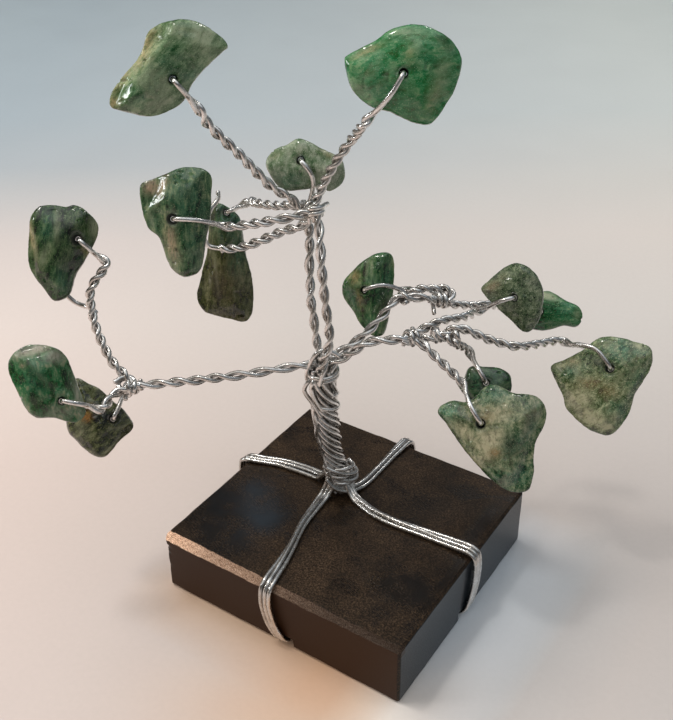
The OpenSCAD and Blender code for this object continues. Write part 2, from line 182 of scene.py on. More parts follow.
def tube(p, r=WIRE_R, sides=12, inward=None, flat_end=(True, True)):
    """vertices, faces and the painted shade of each vertex, strongest on the side of a round wire along p that faces
    its neighbours; inward is a unit vector per point towards its neighbours
    """
    t, n, b = frames(p)
    k = len(p)
    r = np.full(k, r) if np.isscalar(r) else r
    ang = 2 * np.pi * np.arange(sides) / sides
    ca, sa = np.cos(ang)[None, :, None], np.sin(ang)[None, :, None]
    ring = ca * n[:, None, :] + sa * b[:, None, :]
    v = p[:, None, :] + r[:, None, None] * ring
    if inward is None:
        painted_gap_shade = np.zeros((k, sides))
    else:
        # painted shade between touching wires: darkest where the ring faces inward
        painted_gap_shade = np.clip((ring * inward[:, None, :]).sum(2), 0, 1)
    caps = []
    for end, sign in ((0, -1), (k - 1, 1)):
        for off, rad in ((0.10, 0.93), (0.17, 0.74)):
            caps.append(p[end] + sign * off * t[end] + rad * r[end] * ring[end])
        caps.append((p[end] + sign * 0.19 * t[end])[None, :])
    verts = np.vstack([v.reshape(-1, 3)] + caps)
    sh = np.concatenate([painted_gap_shade.ravel(), np.zeros(2 * (2 * sides + 1))])
    faces = []
    idx = np.arange(sides)
    nxt = (idx + 1) % sides
    for i in range(k - 1):
        a, c = i * sides, (i + 1) * sides
        faces.extend(zip((a + idx).tolist(), (a + nxt).tolist(), (c + nxt).tolist(), (c + idx).tolist()))
    base = k * sides
    for end, flip in ((0, True), (k - 1, False)):
        first, second, mid = base, base + sides, base + 2 * sides
        rim = end * sides
        for j in range(sides):
            q = (j + 1) % sides
            quads = [(rim + j, rim + q, first + q, first + j), (first + j, first + q, second + q, second + j), (second + j, second + q, mid)]
            faces.extend([tuple(reversed(f)) for f in quads] if flip else quads)
        base += 2 * sides + 1
    return verts, faces, sh


def wires(name, strands, body, nodes, extra=()):
    """one piece made of several wires; each strand is (points, inward or None) or (points, inward, radius)"""
    vs, fs, sh, tone, n = [], [], [], [], 0
    for j, s in enumerate(strands):
        pts, inward = s[0], s[1]
        r = s[2] if len(s) > 2 else WIRE_R
        v, f, c = tube(pts, r, inward=inward)
        vs.append(v)
        fs.extend([tuple(i + n for i in q) for q in f])
        sh.append(c)
        tone.append(np.full(len(v), (j * 0.618 + 0.13 * len(name)) % 1.0))
        n += len(v)
    for v, f in extra:
        vs.append(v)
        fs.extend([tuple(i + n for i in q) for q in f])
        # the extra mesh is painted in full shade
        sh.append(np.ones(len(v)))
        tone.append(np.full(len(v), 0.5))
        n += len(v)
    return link(name, np.vstack(vs), fs, SILVER, body, nodes,
                attrs={"painted_gap_shade": np.concatenate(sh), "tone": np.concatenate(tone)})


# ---------------------------------------------------------------- materials
def new_material(name):
    m = bpy.data.materials.new(name)
    m.use_nodes = True
    nt = m.node_tree
    nt.nodes.clear()
    out = nt.nodes.new("ShaderNodeOutputMaterial")
    bsdf = nt.nodes.new("ShaderNodeBsdfPrincipled")
    nt.links.new(bsdf.outputs[0], out.inputs[0])
    return m, nt, bsdf


class Nodes:
    def __init__(self, nt):
        self.nt = nt

    def add(self, kind, **props):
        n = self.nt.nodes.new(kind)
        for k, v in props.items():
            setattr(n, k, v)
        return n

    def link(self, a, b):
        self.nt.links.new(a, b)

    def coords(self, scale=1000.0, rotation=(0, 0, 0), stretch=(1, 1, 1)):
        tc = self.add("ShaderNodeTexCoord")
        mp = self.add("ShaderNodeMapping")
        mp.inputs["Scale"].default_value = [scale] * 3
        self.link(tc.outputs["Object"], mp.inputs["Vector"])
        rot = self.add("ShaderNodeMapping")
        rot.inputs["Rotation"].default_value = rotation
        self.link(mp.outputs[0], rot.inputs["Vector"])
        st = self.add("ShaderNodeMapping")
        st.inputs["Scale"].default_value = stretch
        self.link(rot.outputs[0], st.inputs["Vector"])
        return st.outputs[0]

    def noise(self, vec, scale, detail=4.0, rough=0.55, distortion=0.0, offset=None):
        n = self.add("ShaderNodeTexNoise")
        n.inputs["Scale"].default_value = scale
        n.inputs["Detail"].default_value = detail
        n.inputs["Roughness"].default_value = rough
        n.inputs["Distortion"].default_value = distortion
        if offset is not None:
            o = self.add("ShaderNodeVectorMath", operation="ADD")
            o.inputs[1].default_value = offset
            self.link(vec, o.inputs[0])
            vec = o.outputs[0]
        self.link(vec, n.inputs["Vector"])
        return n.outputs["Fac"]

    def ramp(self, fac, stops, smooth_ends=False):
        r = self.add("ShaderNodeValToRGB")
        if smooth_ends:
            r.color_ramp.interpolation = "EASE"
        els = r.color_ramp.elements
        while len(els) < len(stops):
            els.new(0.5)
        for e, (pos, col) in zip(els, stops):
            e.position = pos
            e.color = (*col, 1) if len(col) == 3 else col
        self.link(fac, r.inputs[0])
        return r.outputs[0]

    def grey(self, fac, a, b, lo=0.0, hi=1.0):
        m = self.add("ShaderNodeMapRange")
        m.inputs["From Min"].default_value = a
        m.inputs["From Max"].default_value = b
        m.inputs["To Min"].default_value = lo
        m.inputs["To Max"].default_value = hi
        self.link(fac, m.inputs["Value"])
        return m.outputs[0]

    def math(self, op, a, b=None, clamp=False):
        m = self.add("ShaderNodeMath", operation=op)
        m.use_clamp = clamp
        for i, x in enumerate((a, b)):
            if x is None:
                continue
            if isinstance(x, (int, float)):
                m.inputs[i].default_value = x
            else:
                self.link(x, m.inputs[i])
        return m.outputs[0]

    def mix(self, fac, a, b, blend="MIX"):
        m = self.add("ShaderNodeMix", data_type="RGBA", blend_type=blend)
        for sock, x in ((m.inputs[0], fac), (m.inputs[6], a), (m.inputs[7], b)):
            if isinstance(x, (int, float)):
                sock.default_value = x if sock == m.inputs[0] else (x, x, x, 1)
            elif isinstance(x, (tuple, list)):
                sock.default_value = (*x, 1) if len(x) == 3 else x
            else:
                self.link(x, sock)
        return m.outputs[2]

    def attr(self, name):
        a = self.add("ShaderNodeAttribute")
        a.attribute_name = name
        return a.outputs["Fac"]

    def bump(self, height, strength, distance, normal=None):
        b = self.add("ShaderNodeBump")
        b.inputs["Strength"].default_value = strength
        b.inputs["Distance"].default_value = distance
        self.link(height, b.inputs["Height"])
        if normal is not None:
            self.link(normal, b.inputs["Normal"])
        return b.outputs[0]


def silver_material():
    m, nt, bsdf = new_material("silver_plated_wire")
    n = Nodes(nt)
    v = n.coords()
    broad = n.noise(v, 0.16, 3, 0.6)
    spots = n.noise(v, 0.9, 4, 0.6)
    fine = n.noise(v, 5.0, 3, 0.6)
    clean = n.ramp(broad, [(0.32, (0.66, 0.635, 0.61)), (0.5, (0.80, 0.785, 0.765)), (0.68, (0.88, 0.88, 0.88))])
    dull = n.ramp(spots, [(0.36, (0.46, 0.42, 0.38)), (0.62, (0.78, 0.75, 0.71))])
    wear = n.grey(spots, 0.40, 0.56, 0.45, 0.0)
    col = n.mix(wear, clean, dull)
    tone = n.grey(n.attr("tone"), 0, 1, 0.86, 1.06)
    col = n.mix(1.0, col, tone, "MULTIPLY")
    # painted shade between neighbouring wires, darkening the colour towards near black
    gap_shade = n.math("POWER", n.attr("painted_gap_shade"), 2.2)
    gap_shade = n.math("MULTIPLY", gap_shade, n.grey(spots, 0.3, 0.7, 0.75, 0.5))
    col = n.mix(gap_shade, col, (0.13, 0.11, 0.095))
    n.link(col, bsdf.inputs["Base Color"])
    bsdf.inputs["Metallic"].default_value = 1.0
    rough = n.math("ADD", n.grey(spots, 0.35, 0.7, 0.20, 0.32), n.math("MULTIPLY", gap_shade, 0.3))
    n.link(rough, bsdf.inputs["Roughness"])
    n.link(n.bump(fine, 0.06, 0.00002, n.bump(spots, 0.10, 0.00006)), bsdf.inputs["Normal"])
    return m


SILVER = silver_material()


# ---------------------------------------------------------------- twisted wire
def winding(s, pitch, seed):
    """turn of the twist along a wire, in degrees: a hand twist is tighter in some places than in others"""
    ds = np.diff(s, prepend=s[0])
    rate = 360 / pitch * (1 + 0.34 * noise1(s, seed, 5.5) + 0.12 * noise1(s, seed + 9, 1.9))
    return np.cumsum(ds * rate)


def twisted(route, pitch=6.6, gap=PAIR_GAP, seed=1, end_phase=None, step=0.24, wander=0.10):
    """two strands twisted together along a route: centre line, strands and the unit vectors towards the partner"""
    p = even(smooth(route, 0.2), step)
    if wander:
        fade = smoothstep(0, 2.5, lengths(p))[::-1]
        q = jitter(p, wander, 3.1, seed)
        p = p + (q - p) * np.minimum(fade, 1)[:, None]
    t, n, b = frames(p)
    s = lengths(p)
    a = winding(s, pitch, seed)
    if end_phase is None:
        a = a + 57.0 * seed
    else:
        base = math.degrees(math.atan2(end_phase @ b[-1], end_phase @ n[-1]))
        a = a - a[-1] + base
    a = np.radians(a)
    r = gap / 2 * (1 + 0.10 * noise1(s, seed + 3, 1.7))
    off = np.cos(a)[:, None] * n + np.sin(a)[:, None] * b
    return p, p + r[:, None] * off, p - r[:, None] * off, -off


def coil(centre, axis, radius, turns, rise, seed, start=0.0, squash=1.0, tails=(0.0, 0.0), step=0.22):
    """a few uneven turns of wire round a fork, with its ends cut short"""
    z = unit(axis)
    x = unit(np.cross(z, [0.3, 0.2, 1.0]))
    y = np.cross(z, x)
    n = max(12, int(turns * 2 * np.pi * radius / step))
    u = np.linspace(0, 1, n)
    a = np.radians(start) + 2 * np.pi * turns * u
    rr = radius * (1 + 0.14 * noise1(u * turns * 6, seed, 1.6))
    h = rise * (u - 0.5) + 0.22 * noise1(u * turns * 6, seed + 4, 1.9)
    p = np.asarray(centre, float) + rr[:, None] * (np.cos(a)[:, None] * x + squash * np.sin(a)[:, None] * y) + h[:, None] * z
    inward = -(np.cos(a)[:, None] * x + np.sin(a)[:, None] * y)
    for end, length in ((0, tails[0]), (1, tails[1])):
        if length:
            m = int(length / step) + 1
            k = np.arange(1, m + 1)[:, None] * step
            d = unit(p[0] - p[1]) if end == 0 else unit(p[-1] - p[-2])
            outward = -inward[0] if end == 0 else -inward[-1]
            d = unit(d + 0.55 * outward)
            ext = (p[0] if end == 0 else p[-1]) + k * d
            i_ext = np.repeat((inward[0] if end == 0 else inward[-1])[None, :], m, 0)
            if end == 0:
                p, inward = np.vstack([ext[::-1], p]), np.vstack([i_ext, inward])
            else:
                p, inward = np.vstack([p, ext]), np.vstack([inward, i_ext])
    return relax(p, 2), inward


# ---------------------------------------------------------------- trunk
CROWN = np.array([-7.3, 3.3, 40.0])
TRUNK = np.array([[-4.9, 5, 12.8, 2.3], [-4.8, 5, 14.2, 2.5], [-4.9, 4.9, 16, 2.4], [-5.5, 4.4, 18.5, 2.2],
                  [-6.2, 3.9, 22, 2.1], [-6.6, 3.7, 27, 2.15], [-6.9, 3.5, 32.5, 2.3], [-7.2, 3.4, 36.5, 2.45],
                  [-7.3, 3.3, 38.5, 2.5], [-7.3, 3.3, 41.2, 2.3]])


def trunk_axis(z):
    return np.stack([np.interp(z, TRUNK[:, 2], TRUNK[:, a]) for a in (0, 1, 3)], 1)


def build_trunk():
    strands = []
    count = 9
    z = np.linspace(12.95, 40.6, 170)
    ax = trunk_axis(z)
    for _ in range(8):
        ax[1:-1] = 0.5 * ax[1:-1] + 0.25 * (ax[:-2] + ax[2:])
    lean = np.interp(z, [13, 15.5, 18, 29, 33, 36.5, 38.5, 40.6], [64, 56, 41, 39, 44, 30, 18, 12])
    r = ax[:, 2] - 0.43
    turn = np.concatenate([[0], np.cumsum(np.diff(z) * np.tan(np.radians(lean[1:])) / r[1:])])
    # the nine strands lie in four bunches, with a deeper groove between two bunches
    around = np.radians([0, 35.5, 81.5, 117, 163, 198, 233.5, 280, 315.5])
    proud = [0.12, -0.04, 0.20, 0.0, 0.14, 0.04, -0.10, 0.18, 0.02]
    for k in range(count):
        a = around[k] - turn + 0.09 * noise1(z, 20 + k, 4.0)
        rk = r + proud[k] + 0.13 * noise1(z, 40 + k, 3.3)
        p = np.stack([ax[:, 0] + rk * np.cos(a), ax[:, 1] + rk * np.sin(a), z], 1)
        inward = np.stack([-np.cos(a), -np.sin(a), np.zeros_like(a)], 1)
        s = lengths(p)
        m = int(s[-1] / 0.26)
        t = np.linspace(0, s[-1], m)
        pp = np.stack([np.interp(t, s, p[:, c]) for c in range(3)], 1)
        ii = np.stack([np.interp(t, s, inward[:, c]) for c in range(3)], 1)
        strands.append((pp, ii))
    # a second length of wire wound round the first ones: below the crown and again at the foot
    for z0, z1, turns, start, extra, seed in ((31.2, 35.4, 1.6, 200, 0.34, 5), (13.9, 18.2, 3.0, 60, 0.40, 6)):
        u = np.linspace(0, 1, int(turns * 60))
        zz = z0 + (z1 - z0) * u
        c = trunk_axis(zz)
        a = np.radians(start) - 2 * np.pi * turns * u
        fade = np.minimum(smoothstep(0, 0.12, u), smoothstep(0, 0.12, 1 - u))
        rr = c[:, 2] - 0.35 + extra * fade + 0.12 * noise1(u * turns * 5, seed, 2.0)
        p = np.stack([c[:, 0] + rr * np.cos(a), c[:, 1] + rr * np.sin(a), zz], 1)
        strands.append((relax(p, 3), np.stack([-np.cos(a), -np.sin(a), 0 * a], 1)))
    # loose strands at the left of the crown and down the front
    hand = [
        [[-8.6, 1.6, 38.9], [-8.8, 0.9, 38.4], [-9.4, 0.5, 37.0], [-9.3, 0.5, 36.0], [-8.3, 0.9, 34.3], [-7.4, 1.1, 32.8], [-6.5, 1.3, 31.4]],
        [[-7.7, 1.1, 39.2], [-7.6, 0.6, 38.6], [-7.9, 0.5, 37.4], [-7.5, 0.6, 35.7], [-6.9, 0.9, 34.0], [-6.2, 1.4, 32.6]],
        [[-7.7, 1.2, 33.9], [-7.9, 1.1, 31.6], [-7.45, 1.3, 29.2], [-7.65, 1.35, 27.0], [-7.1, 1.6, 24.6], [-6.8, 1.7, 22.4], [-6.0, 1.8, 19.8], [-5.2, 2.0, 17.4], [-4.5, 2.2, 15.6]],
        [[-8.8, 1.9, 33.4], [-8.6, 2.0, 30.4], [-8.1, 2.0, 27.9], [-7.9, 2.2, 25.6], [-7.4, 2.2, 23.2]],
        [[-6.4, 1.6, 19.7], [-4.9, 2.1, 19.0], [-3.2, 3.2, 18.2], [-2.4, 4.8, 17.3], [-2.2, 6.4, 16.9], [-3.2, 7.4, 16.8]],
        [[-5.4, 2.2, 17.6], [-4.0, 2.8, 16.9], [-2.6, 4.0, 16.2], [-2.0, 5.6, 15.9], [-2.6, 7.0, 15.9], [-3.9, 7.8, 16.1]],
        [[-4.3, 2.6, 19.0], [-3.1, 3.6, 19.0], [-2.6, 5.6, 18.6], [-3.2, 6.5, 18.4], [-4.3, 6.9, 18.6]],
    ]
    for j, h in enumerate(hand):
        p = jitter(even(smooth(h, 0.2), 0.25), 0.05, 2.0, 70 + j)
        c = trunk_axis(p[:, 2])
        inward = np.stack([c[:, 0] - p[:, 0], c[:, 1] - p[:, 1], 0 * p[:, 0]], 1)
        inward /= np.linalg.norm(inward, axis=1)[:, None]
        strands.append((relax(p, 2), inward))
    # the bundle's core, which closes the gaps between the strands and is painted dark as the shade between them
    zz = np.linspace(12.9, 39.6, 60)
    c = trunk_axis(zz)
    core = np.stack([c[:, 0], c[:, 1], zz], 1)
    v, f, _ = tube(core, c[:, 2] - 0.85, sides=20)
    wires("trunk_wires", strands, "tree", ["trunk_twist"], extra=[(v, f)])


def build_binding():
    u = np.linspace(0, 1, 130)
    a = 2 * np.pi * 1.75 * u - 0.9
    rr = 2.62 + 0.08 * noise1(u * 11, 3, 2.0)
    p = np.stack([CROWN[0] + rr * np.cos(a), CROWN[1] + rr * np.sin(a), 39.15 + 1.35 * u + 0.10 * noise1(u * 11, 8, 2.5)], 1)
    inward = np.stack([-np.cos(a), -np.sin(a), 0 * a], 1)
    arch = [[-9.3, 1.2, 38.6], [-9.1, 1.0, 40.4], [-8.5, 1.2, 42.2], [-7.7, 1.7, 44.0], [-6.9, 2.5, 44.8], [-5.9, 3.5, 44.4], [-4.8, 4.3, 43.6], [-3.7, 4.7, 42.6]]
    arch2 = [[-6.2, 0.8, 38.6], [-6.0, 1.0, 40.2], [-5.7, 1.6, 41.6], [-5.9, 2.6, 42.6], [-6.6, 3.4, 42.9], [-7.4, 4.0, 42.2], [-7.6, 4.6, 40.8]]
    strands = [(relax(p, 2), inward)]
    for j, h in enumerate((arch, arch2)):
        q = relax(even(smooth(h, 0.2), 0.24), 3)
        strands.append((q, None))
    wires("crown_binding_wire", strands, "tree", ["crown_binding"])


# ---------------------------------------------------------------- roots
# centre line of each root and the direction in which its strands lie side by side
ROOTS = {
    "left": [[-6.7, 4.5, 16.9, 0.2, 1], [-7.5, 4.9, 15.6, 0.2, 1], [-8.4, 5.4, 14.5, 0.2, 1], [-9.6, 5.6, 13.4, 0.1, 1], [-11.8, 5.6, 13.12, 0, 1], [-14.3, 5.3, 13.12, 0.1, 1],
             [-18.7, 4.5, 13.12, 0.2, 1], [-22.5, 3.1, 13.14, 0.3, 1], [-24.9, 2.3, 13.2, 0.3, 1], [-25.9, 2.1, 12.8, 0.2, 1],
             [-26.2, 1.9, 11.6, 0, 1], [-26.0, 1.2, 6, 0, 1], [-25.7, 0.8, 2.7, 0, 1], [-25.3, 0.5, 1.3, 0, 1], [-24, 0.3, 0.8, 0, 1], [-18, 0, 0.8, 0, 1]],
    "front": [[-5.2, 2.3, 16.0, -1, 0], [-5.6, 1.5, 14.4, -1, 0.1], [-5.8, 0.2, 13.4, -1, 0], [-5.6, -2.6, 13.12, -1, -0.1], [-4.9, -7.6, 13.12, -1, -0.1], [-3.3, -13.4, 13.12, -1, -0.2],
              [-2.4, -17.4, 13.12, -1, -0.1], [-1.9, -20.6, 13.14, -1, -0.1], [-1.65, -22.0, 13.12, -1, -0.05], [-1.5, -23.15, 12.75, -1, 0], [-1.45, -23.9, 11.9, -1, 0], [-1.4, -24.2, 10.5, -1, 0],
              [-1.3, -24.3, 8.6, -1, 0], [-0.5, -24.2, 5.0, -1, 0], [0.5, -24.0, 2.9, -1, 0], [1.0, -23.5, 1.5, -1, 0], [1.3, -22.3, 0.9, -1, 0], [1.3, -16, 0.9, -1, 0]],
    "right": [[-3.4, 4.6, 16.4, 0.2, -1], [-2.2, 4.1, 14.6, 0.2, -1], [-0.9, 3.5, 13.5, 0.1, -1], [1.6, 2.7, 13.14, 0, -1], [4.8, 1.95, 13.12, 0, -1], [9.1, 1.75, 13.12, 0, -1],
              [14, 2.2, 13.14, 0, -1], [19, 2.6, 13.2, 0, -1], [22.2, 2.7, 13.4, 0, -1], [24.2, 2.7, 13.4, 0, -1], [25.35, 2.6, 12.75, 0, -1], [25.75, 2.5, 11.2, 0, -1],
              [25.8, 2.3, 7, 0, -1], [25.6, 1.2, 2.9, 0, -1], [25.2, 0.4, 1.5, 0, -1], [24, 0.2, 0.9, 0, -1], [18, 0, 0.9, 0, -1]],
    "back": [[-6.0, 1.9, 16.9, 0.5, -0.8], [-4.3, 2.2, 15.3, 0.6, -0.8], [-2.9, 3.6, 14.2, 0.9, -0.5], [-2.1, 5.6, 13.5, 1, -0.2], [-1.6, 8.0, 13.15, 1, -0.2], [-1.4, 10.8, 13.12, 1, -0.1], [-1.4, 15.8, 13.12, 1, 0],
             [-1.3, 20.8, 13.3, 1, 0.1], [-1.1, 23.1, 13.6, 1, 0], [-0.9, 24.2, 13.0, 1, 0], [-0.8, 24.5, 11.4, 1, 0], [-0.5, 24.2, 7, 1, 0],
             [0.9, 23.9, 2.7, 1, 0], [1.2, 23.5, 1.3, 1, 0], [1.3, 22.3, 0.8, 1, 0], [1.3, 16, 0.8, 1, 0]],
}
# sideways places of the three strands along each root, in wire widths: [share of length, first, second, third]
FANS = {
    "left": [[0, -0.7, 0, 0.6], [0.12, -1.6, -0.25, 0.7], [0.22, -1.45, -0.1, 0.95], [0.35, -1.15, 0.0, 1.1], [0.46, -1.1, 0, 1.15], [0.56, -1.1, 0, 1.25], [0.66, -1.0, 0, 1.1], [1, -1.0, 0, 1.0]],
    "front": [[0, -1, 0, 1], [0.10, -0.85, 0, 0.85], [0.20, -0.62, 0.0, 0.65], [0.30, -0.50, 0.0, 0.50], [0.36, -0.60, 0.0, 0.50], [0.46, -0.9, 0, 0.8], [0.54, -1.05, 0, 1.05], [0.65, -1.0, 0, 1.0], [1, -1, 0, 1]],
    "right": [[0, -1, 0, 1], [0.12, -0.75, 0, 0.75], [0.30, -0.75, 0, 0.8], [0.42, -0.95, 0, 1.0], [0.55, -1.0, 0.0, 1.15], [0.66, -1.0, 0, 1.0], [1, -1, 0, 1]],
    "back": [[0, -0.9, 0, 0.9], [0.12, -0.8, 0, 0.8], [0.28, -0.55, 0, 0.6], [0.44, -0.65, 0, 0.65], [0.56, -0.9, 0, 0.9], [0.7, -1, 0, 1], [1, -1, 0, 1]],
}


def build_roots():
    for j, (side, line) in enumerate(ROOTS.items()):
        p = even(smooth(line, 0.2), 0.3)
        c, d = p[:, :3], p[:, 3:]
        d = d / np.linalg.norm(d, axis=1)[:, None]
        d3 = np.hstack([d, np.zeros((len(d), 1))])
        s = lengths(c)
        u = s / s[-1]
        fan = np.array(FANS[side])
        for k in range(3):
            w = np.interp(u, fan[:, 0], fan[:, k + 1])
            for _ in range(12):
                w[1:-1] = 0.5 * w[1:-1] + 0.25 * (w[:-2] + w[2:])
            wob = 0.04 * noise1(s, 10 * j + k, 4.0)
            lift = 0.06 * np.abs(noise1(s, 10 * j + k + 5, 6.0)) * smoothstep(0.05, 0.2, u)
            if k == 1:
                # where the outer two close in, the middle strand rides on top of them
                gap = 0.86 * np.minimum(np.interp(u, fan[:, 0], fan[:, 3] - fan[:, 2]), np.interp(u, fan[:, 0], fan[:, 2] - fan[:, 1]))
                rise = np.sqrt(np.clip((2 * WIRE_R + 0.01) ** 2 - gap ** 2, 0, None)) * smoothstep(0.03, 0.12, u) * (1 - smoothstep(0.50, 0.60, u))
                lift = lift + relax(np.stack([s, rise], 1), 8)[:, 1]
            q = c + (w * 0.86 + wob)[:, None] * d3 + np.stack([0 * s, 0 * s, lift], 1)
            inward = None if k == 1 else (d3 if k == 0 else -d3)
            if k == 1:
                inward = np.zeros_like(c)
            wires(f"root_{side}_wire_{k + 1}", [(relax(q, 2), inward)], "tree", [f"root_{side}_{k + 1}"])


# ---------------------------------------------------------------- boughs
def crown_at(a, z):
    a = math.radians(a)
    return [CROWN[0] + 1.7 * math.cos(a), CROWN[1] + 1.7 * math.sin(a), CROWN[2] + z]


BOUGHS = {
    "bough_left": [crown_at(221, -2.6), crown_at(221, 1), [-11.5, -1, 41.6], [-17.5, -7.2, 41.3], [-23.5, -13.4, 41.5], [-30.3, -19.6, 41.5]],
    "bough_rear_stem": [crown_at(149, -2.6), crown_at(149, 1.5), [-9.5, 4.5, 46], [-11, 5.5, 54], [-12, 7, 61], [-12.6, 7.7, 66.2], [-12.4, 7.4, 69.4]],
    "bough_front_stem": [crown_at(293, -2.6), crown_at(293, 1.5), [-5.8, 1.6, 44], [-4.7, 1.8, 48], [-5.5, 2, 54.5], [-6.5, 2.5, 62.5], [-8.4, 4.7, 68.2], [-9.0, 5.4, 70.2]],
    "bough_right_upper": [crown_at(77, -2.6), crown_at(77, 1.3), [-5.5, 6.5, 42.8], [-3, 10, 45.2], [-1.5, 14.5, 48], [-0.5, 17.5, 49.8], [2.5, 20.5, 49.5], [5.4, 23.9, 47.9]],
    "bough_right_lower": [crown_at(5, -2.6), crown_at(5, 1.3), [-4, 4.4, 43], [-1.5, 5, 45.5], [0.5, 6.5, 47], [4, 8.5, 47.5], [6.3, 11.2, 47]],
}
BOUGH_PITCH = {"bough_left": 7.6, "bough_rear_stem": 6.4, "bough_front_stem": 7.2, "bough_right_upper": 7.0, "bough_right_lower": 6.6}
# turns of wire at each fork: centre, axis, radius, turns, rise, start, squash, tails
FORKS = {
    "bough_left": [([-30.9, -20.0, 41.4], [-1, -0.7, 0.1], 1.15, 2.2, 2.0, 20, 0.9, (0.8, 1.4)),
                   ([-31.9, -20.6, 42.0], [0.3, -0.4, 1], 1.25, 1.5, 0.8, 200, 0.9, (1.2, 0.6))],
    "bough_front_stem": [([-9.3, 5.2, 69.6], [-0.2, 0.3, 1], 1.35, 1.8, 1.6, 40, 0.9, (1.0, 1.5)),
                         ([-10.6, 5.9, 69.4], [-1, 0.4, 0.1], 1.15, 2.0, 1.8, 130, 0.95, (1.1, 0.8))],
    "bough_rear_stem": [([-12.2, 7.3, 68.6], [0.1, 0.2, 1], 1.25, 1.7, 1.5, 260, 0.9, (0.8, 1.0))],
    "bough_right_upper": [([4.9, 23.4, 48.4], [0.6, 0.8, -0.3], 1.15, 2.2, 2.2, 80, 0.95, (1.6, 0.7)),
                          ([0.2, 18.2, 49.9], [0.4, 0.9, 0.2], 1.05, 1.2, 1.0, 10, 0.9, (0.8, 0.6))],
    "bough_right_lower": [([6.2, 11.4, 47.1], [0.5, 0.8, 0], 1.25, 2.0, 2.0, 140, 0.95, (1.0, 1.6)),
                          ([9.3, 14.2, 47.2], [0.6, 0.8, 0.1], 1.2, 1.6, 1.5, 310, 0.9, (0.7, 1.2)),
                          ([12.4, 15.4, 47.4], [0.6, 0.7, 0.1], 1.1, 1.3, 1.2, 60, 0.9, (0.6, 0.9))],
}


def build_boughs():
    for j, (name, route) in enumerate(BOUGHS.items()):
        _, a, b, inward = twisted(route, BOUGH_PITCH[name], seed=11 + j, wander=0.12)
        strands = [(a, inward), (b, -inward)]
        for i, f in enumerate(FORKS.get(name, [])):
            strands.append(coil(f[0], f[1], f[2], f[3], f[4], 31 * j + i, f[5], f[6], f[7]))
        wires(name + "_wire", strands, "tree", [name])


# ---------------------------------------------------------------- chips and the wires that hold them
# hole centre, facing (turn, up), direction of the twig in the face, distance to the twist, half width of the loop
CHIPS = {
    1: ([-24, -9.5, 93], -45, 15, -54, 4.4, 2.8),
    2: ([4.5, 9, 93.5], -60, 20, -128, 7.8, 3.2),
    3: ([-13.7, 7.7, 76.6], -55, 20, -77, 6.2, 2.9),
    4: ([-28, -8.5, 69], -45, 25, -13, 7.8, 3.2),
    5: ([-28.6, 5.6, 64.4], -50, 25, 22, 3.0, 2.6),
    6: ([-43, -16, 64.5], -40, 25, -51, 4.6, 2.7),
    7: ([-35.5, -31.5, 43.5], -35, 35, -24, 5.2, 2.6),
    8: ([-36, -21, 33], -40, 35, 58, 4.8, 2.7),
    9: ([-7.5, 17.5, 49.5], -60, 30, 0, 6.8, 3.0),
    10: ([16, 31, 48.5], -70, 30, -153, 5.8, 2.9),
    11: ([18, 39.5, 42], -70, 30, 177, 4.6, 2.6),
    12: ([34.5, 34, 38], -75, 35, 160, 8.8, 3.2),
    13: ([22, 7.5, 37.5], -65, 35, 120, 6.4, 3.0),
    14: ([18.5, 16, 39.5], -65, 35, 123, 5.2, 2.7),
}
TWIGS = {
    1: [[-12.8, 5.2, 69.6], [-13.5, 4, 71.5], [-15.5, 1.5, 74], [-18, -2.5, 80], [-20.6, -6.2, 85.5]],
    2: [[-9.4, 5.6, 71.2], [-8.6, 5.6, 73.2], [-6.3, 5.4, 77.4], [-3, 6, 82.5]],
    3: [[-11.9, 7.6, 69.2]],
    4: [[-10.5, 3.2, 69.5], [-11.7, 1.3, 69.3], [-14.5, -1.3, 69]],
    5: [[-15.7, 7.0, 68.3], [-19.2, 6.6, 67.6], [-22.9, 7.0, 67.0]],
    6: [[-32, -19.8, 42.9], [-34.8, -20.2, 45.2], [-37.4, -19.8, 49], [-39.2, -19, 53], [-39.8, -17.8, 57]],
    7: [[-31.6, -21.7, 41.3], [-31.8, -24, 41.4]],
    8: [[-32, -20.4, 39.7]],
    9: [[5, 25.6, 49.6], [1.5, 22.1, 50.2]],
    10: [[7.9, 14.9, 48.5], [9.2, 18, 48.3], [10.6, 22, 47.3]],
    11: [[5.9, 24.5, 47.2], [8, 28, 46], [10.2, 31.5, 45]],
    12: [[9.6, 13.5, 47.3], [12, 16, 48.5], [13.3, 17.2, 48], [16, 19, 46.5], [18.5, 20.7, 45.2], [21.5, 23.5, 44]],
    13: [[8.5, 11.2, 46.5], [11.3, 10.8, 45.2]],
    14: [[13, 14.4, 46.6]],
}
# where each twig comes from, so that the fork has no gaps
TWIG_FROM = {
    1: [[-9.2, 4.9, 69.0], [-11.0, 5.4, 69.2]],
    2: [[-9.6, 5.2, 68.4], [-9.7, 5.5, 69.8]],
    3: [[-12.0, 7.5, 66.8]],
    4: [[-9.6, 5.0, 68.2], [-9.8, 4.2, 69.2]],
    5: [[-11.2, 7.0, 69.0], [-12.6, 7.8, 68.7]],
    6: [[-29.6, -18.9, 41.2], [-30.8, -19.6, 41.8]],
    7: [[-29.9, -19.3, 41.6], [-31.0, -20.5, 41.5]],
    8: [[-30.2, -19.6, 41.3], [-31.4, -20.3, 40.9]],
    9: [[6.6, 24.2, 48.1], [6.2, 25.4, 48.9]],
    10: [[5.2, 10.0, 47.4], [6.6, 12.6, 47.9]],
    11: [[3.6, 22.0, 48.9], [4.9, 23.4, 48.1]],
    12: [[5.0, 9.8, 46.9], [7.4, 11.9, 46.9]],
    13: [[5.2, 9.6, 47.2], [6.9, 10.8, 46.9]],
    14: [[9.4, 13.6, 47.6], [11.4, 14.4, 47.3]],
}


# how far the open loop bows sideways on its way to the hole
BOW = {2: 0.5, 3: 1.2, 4: 0.25, 9: 0.9, 10: -0.3, 12: -1.7, 13: 0.3}


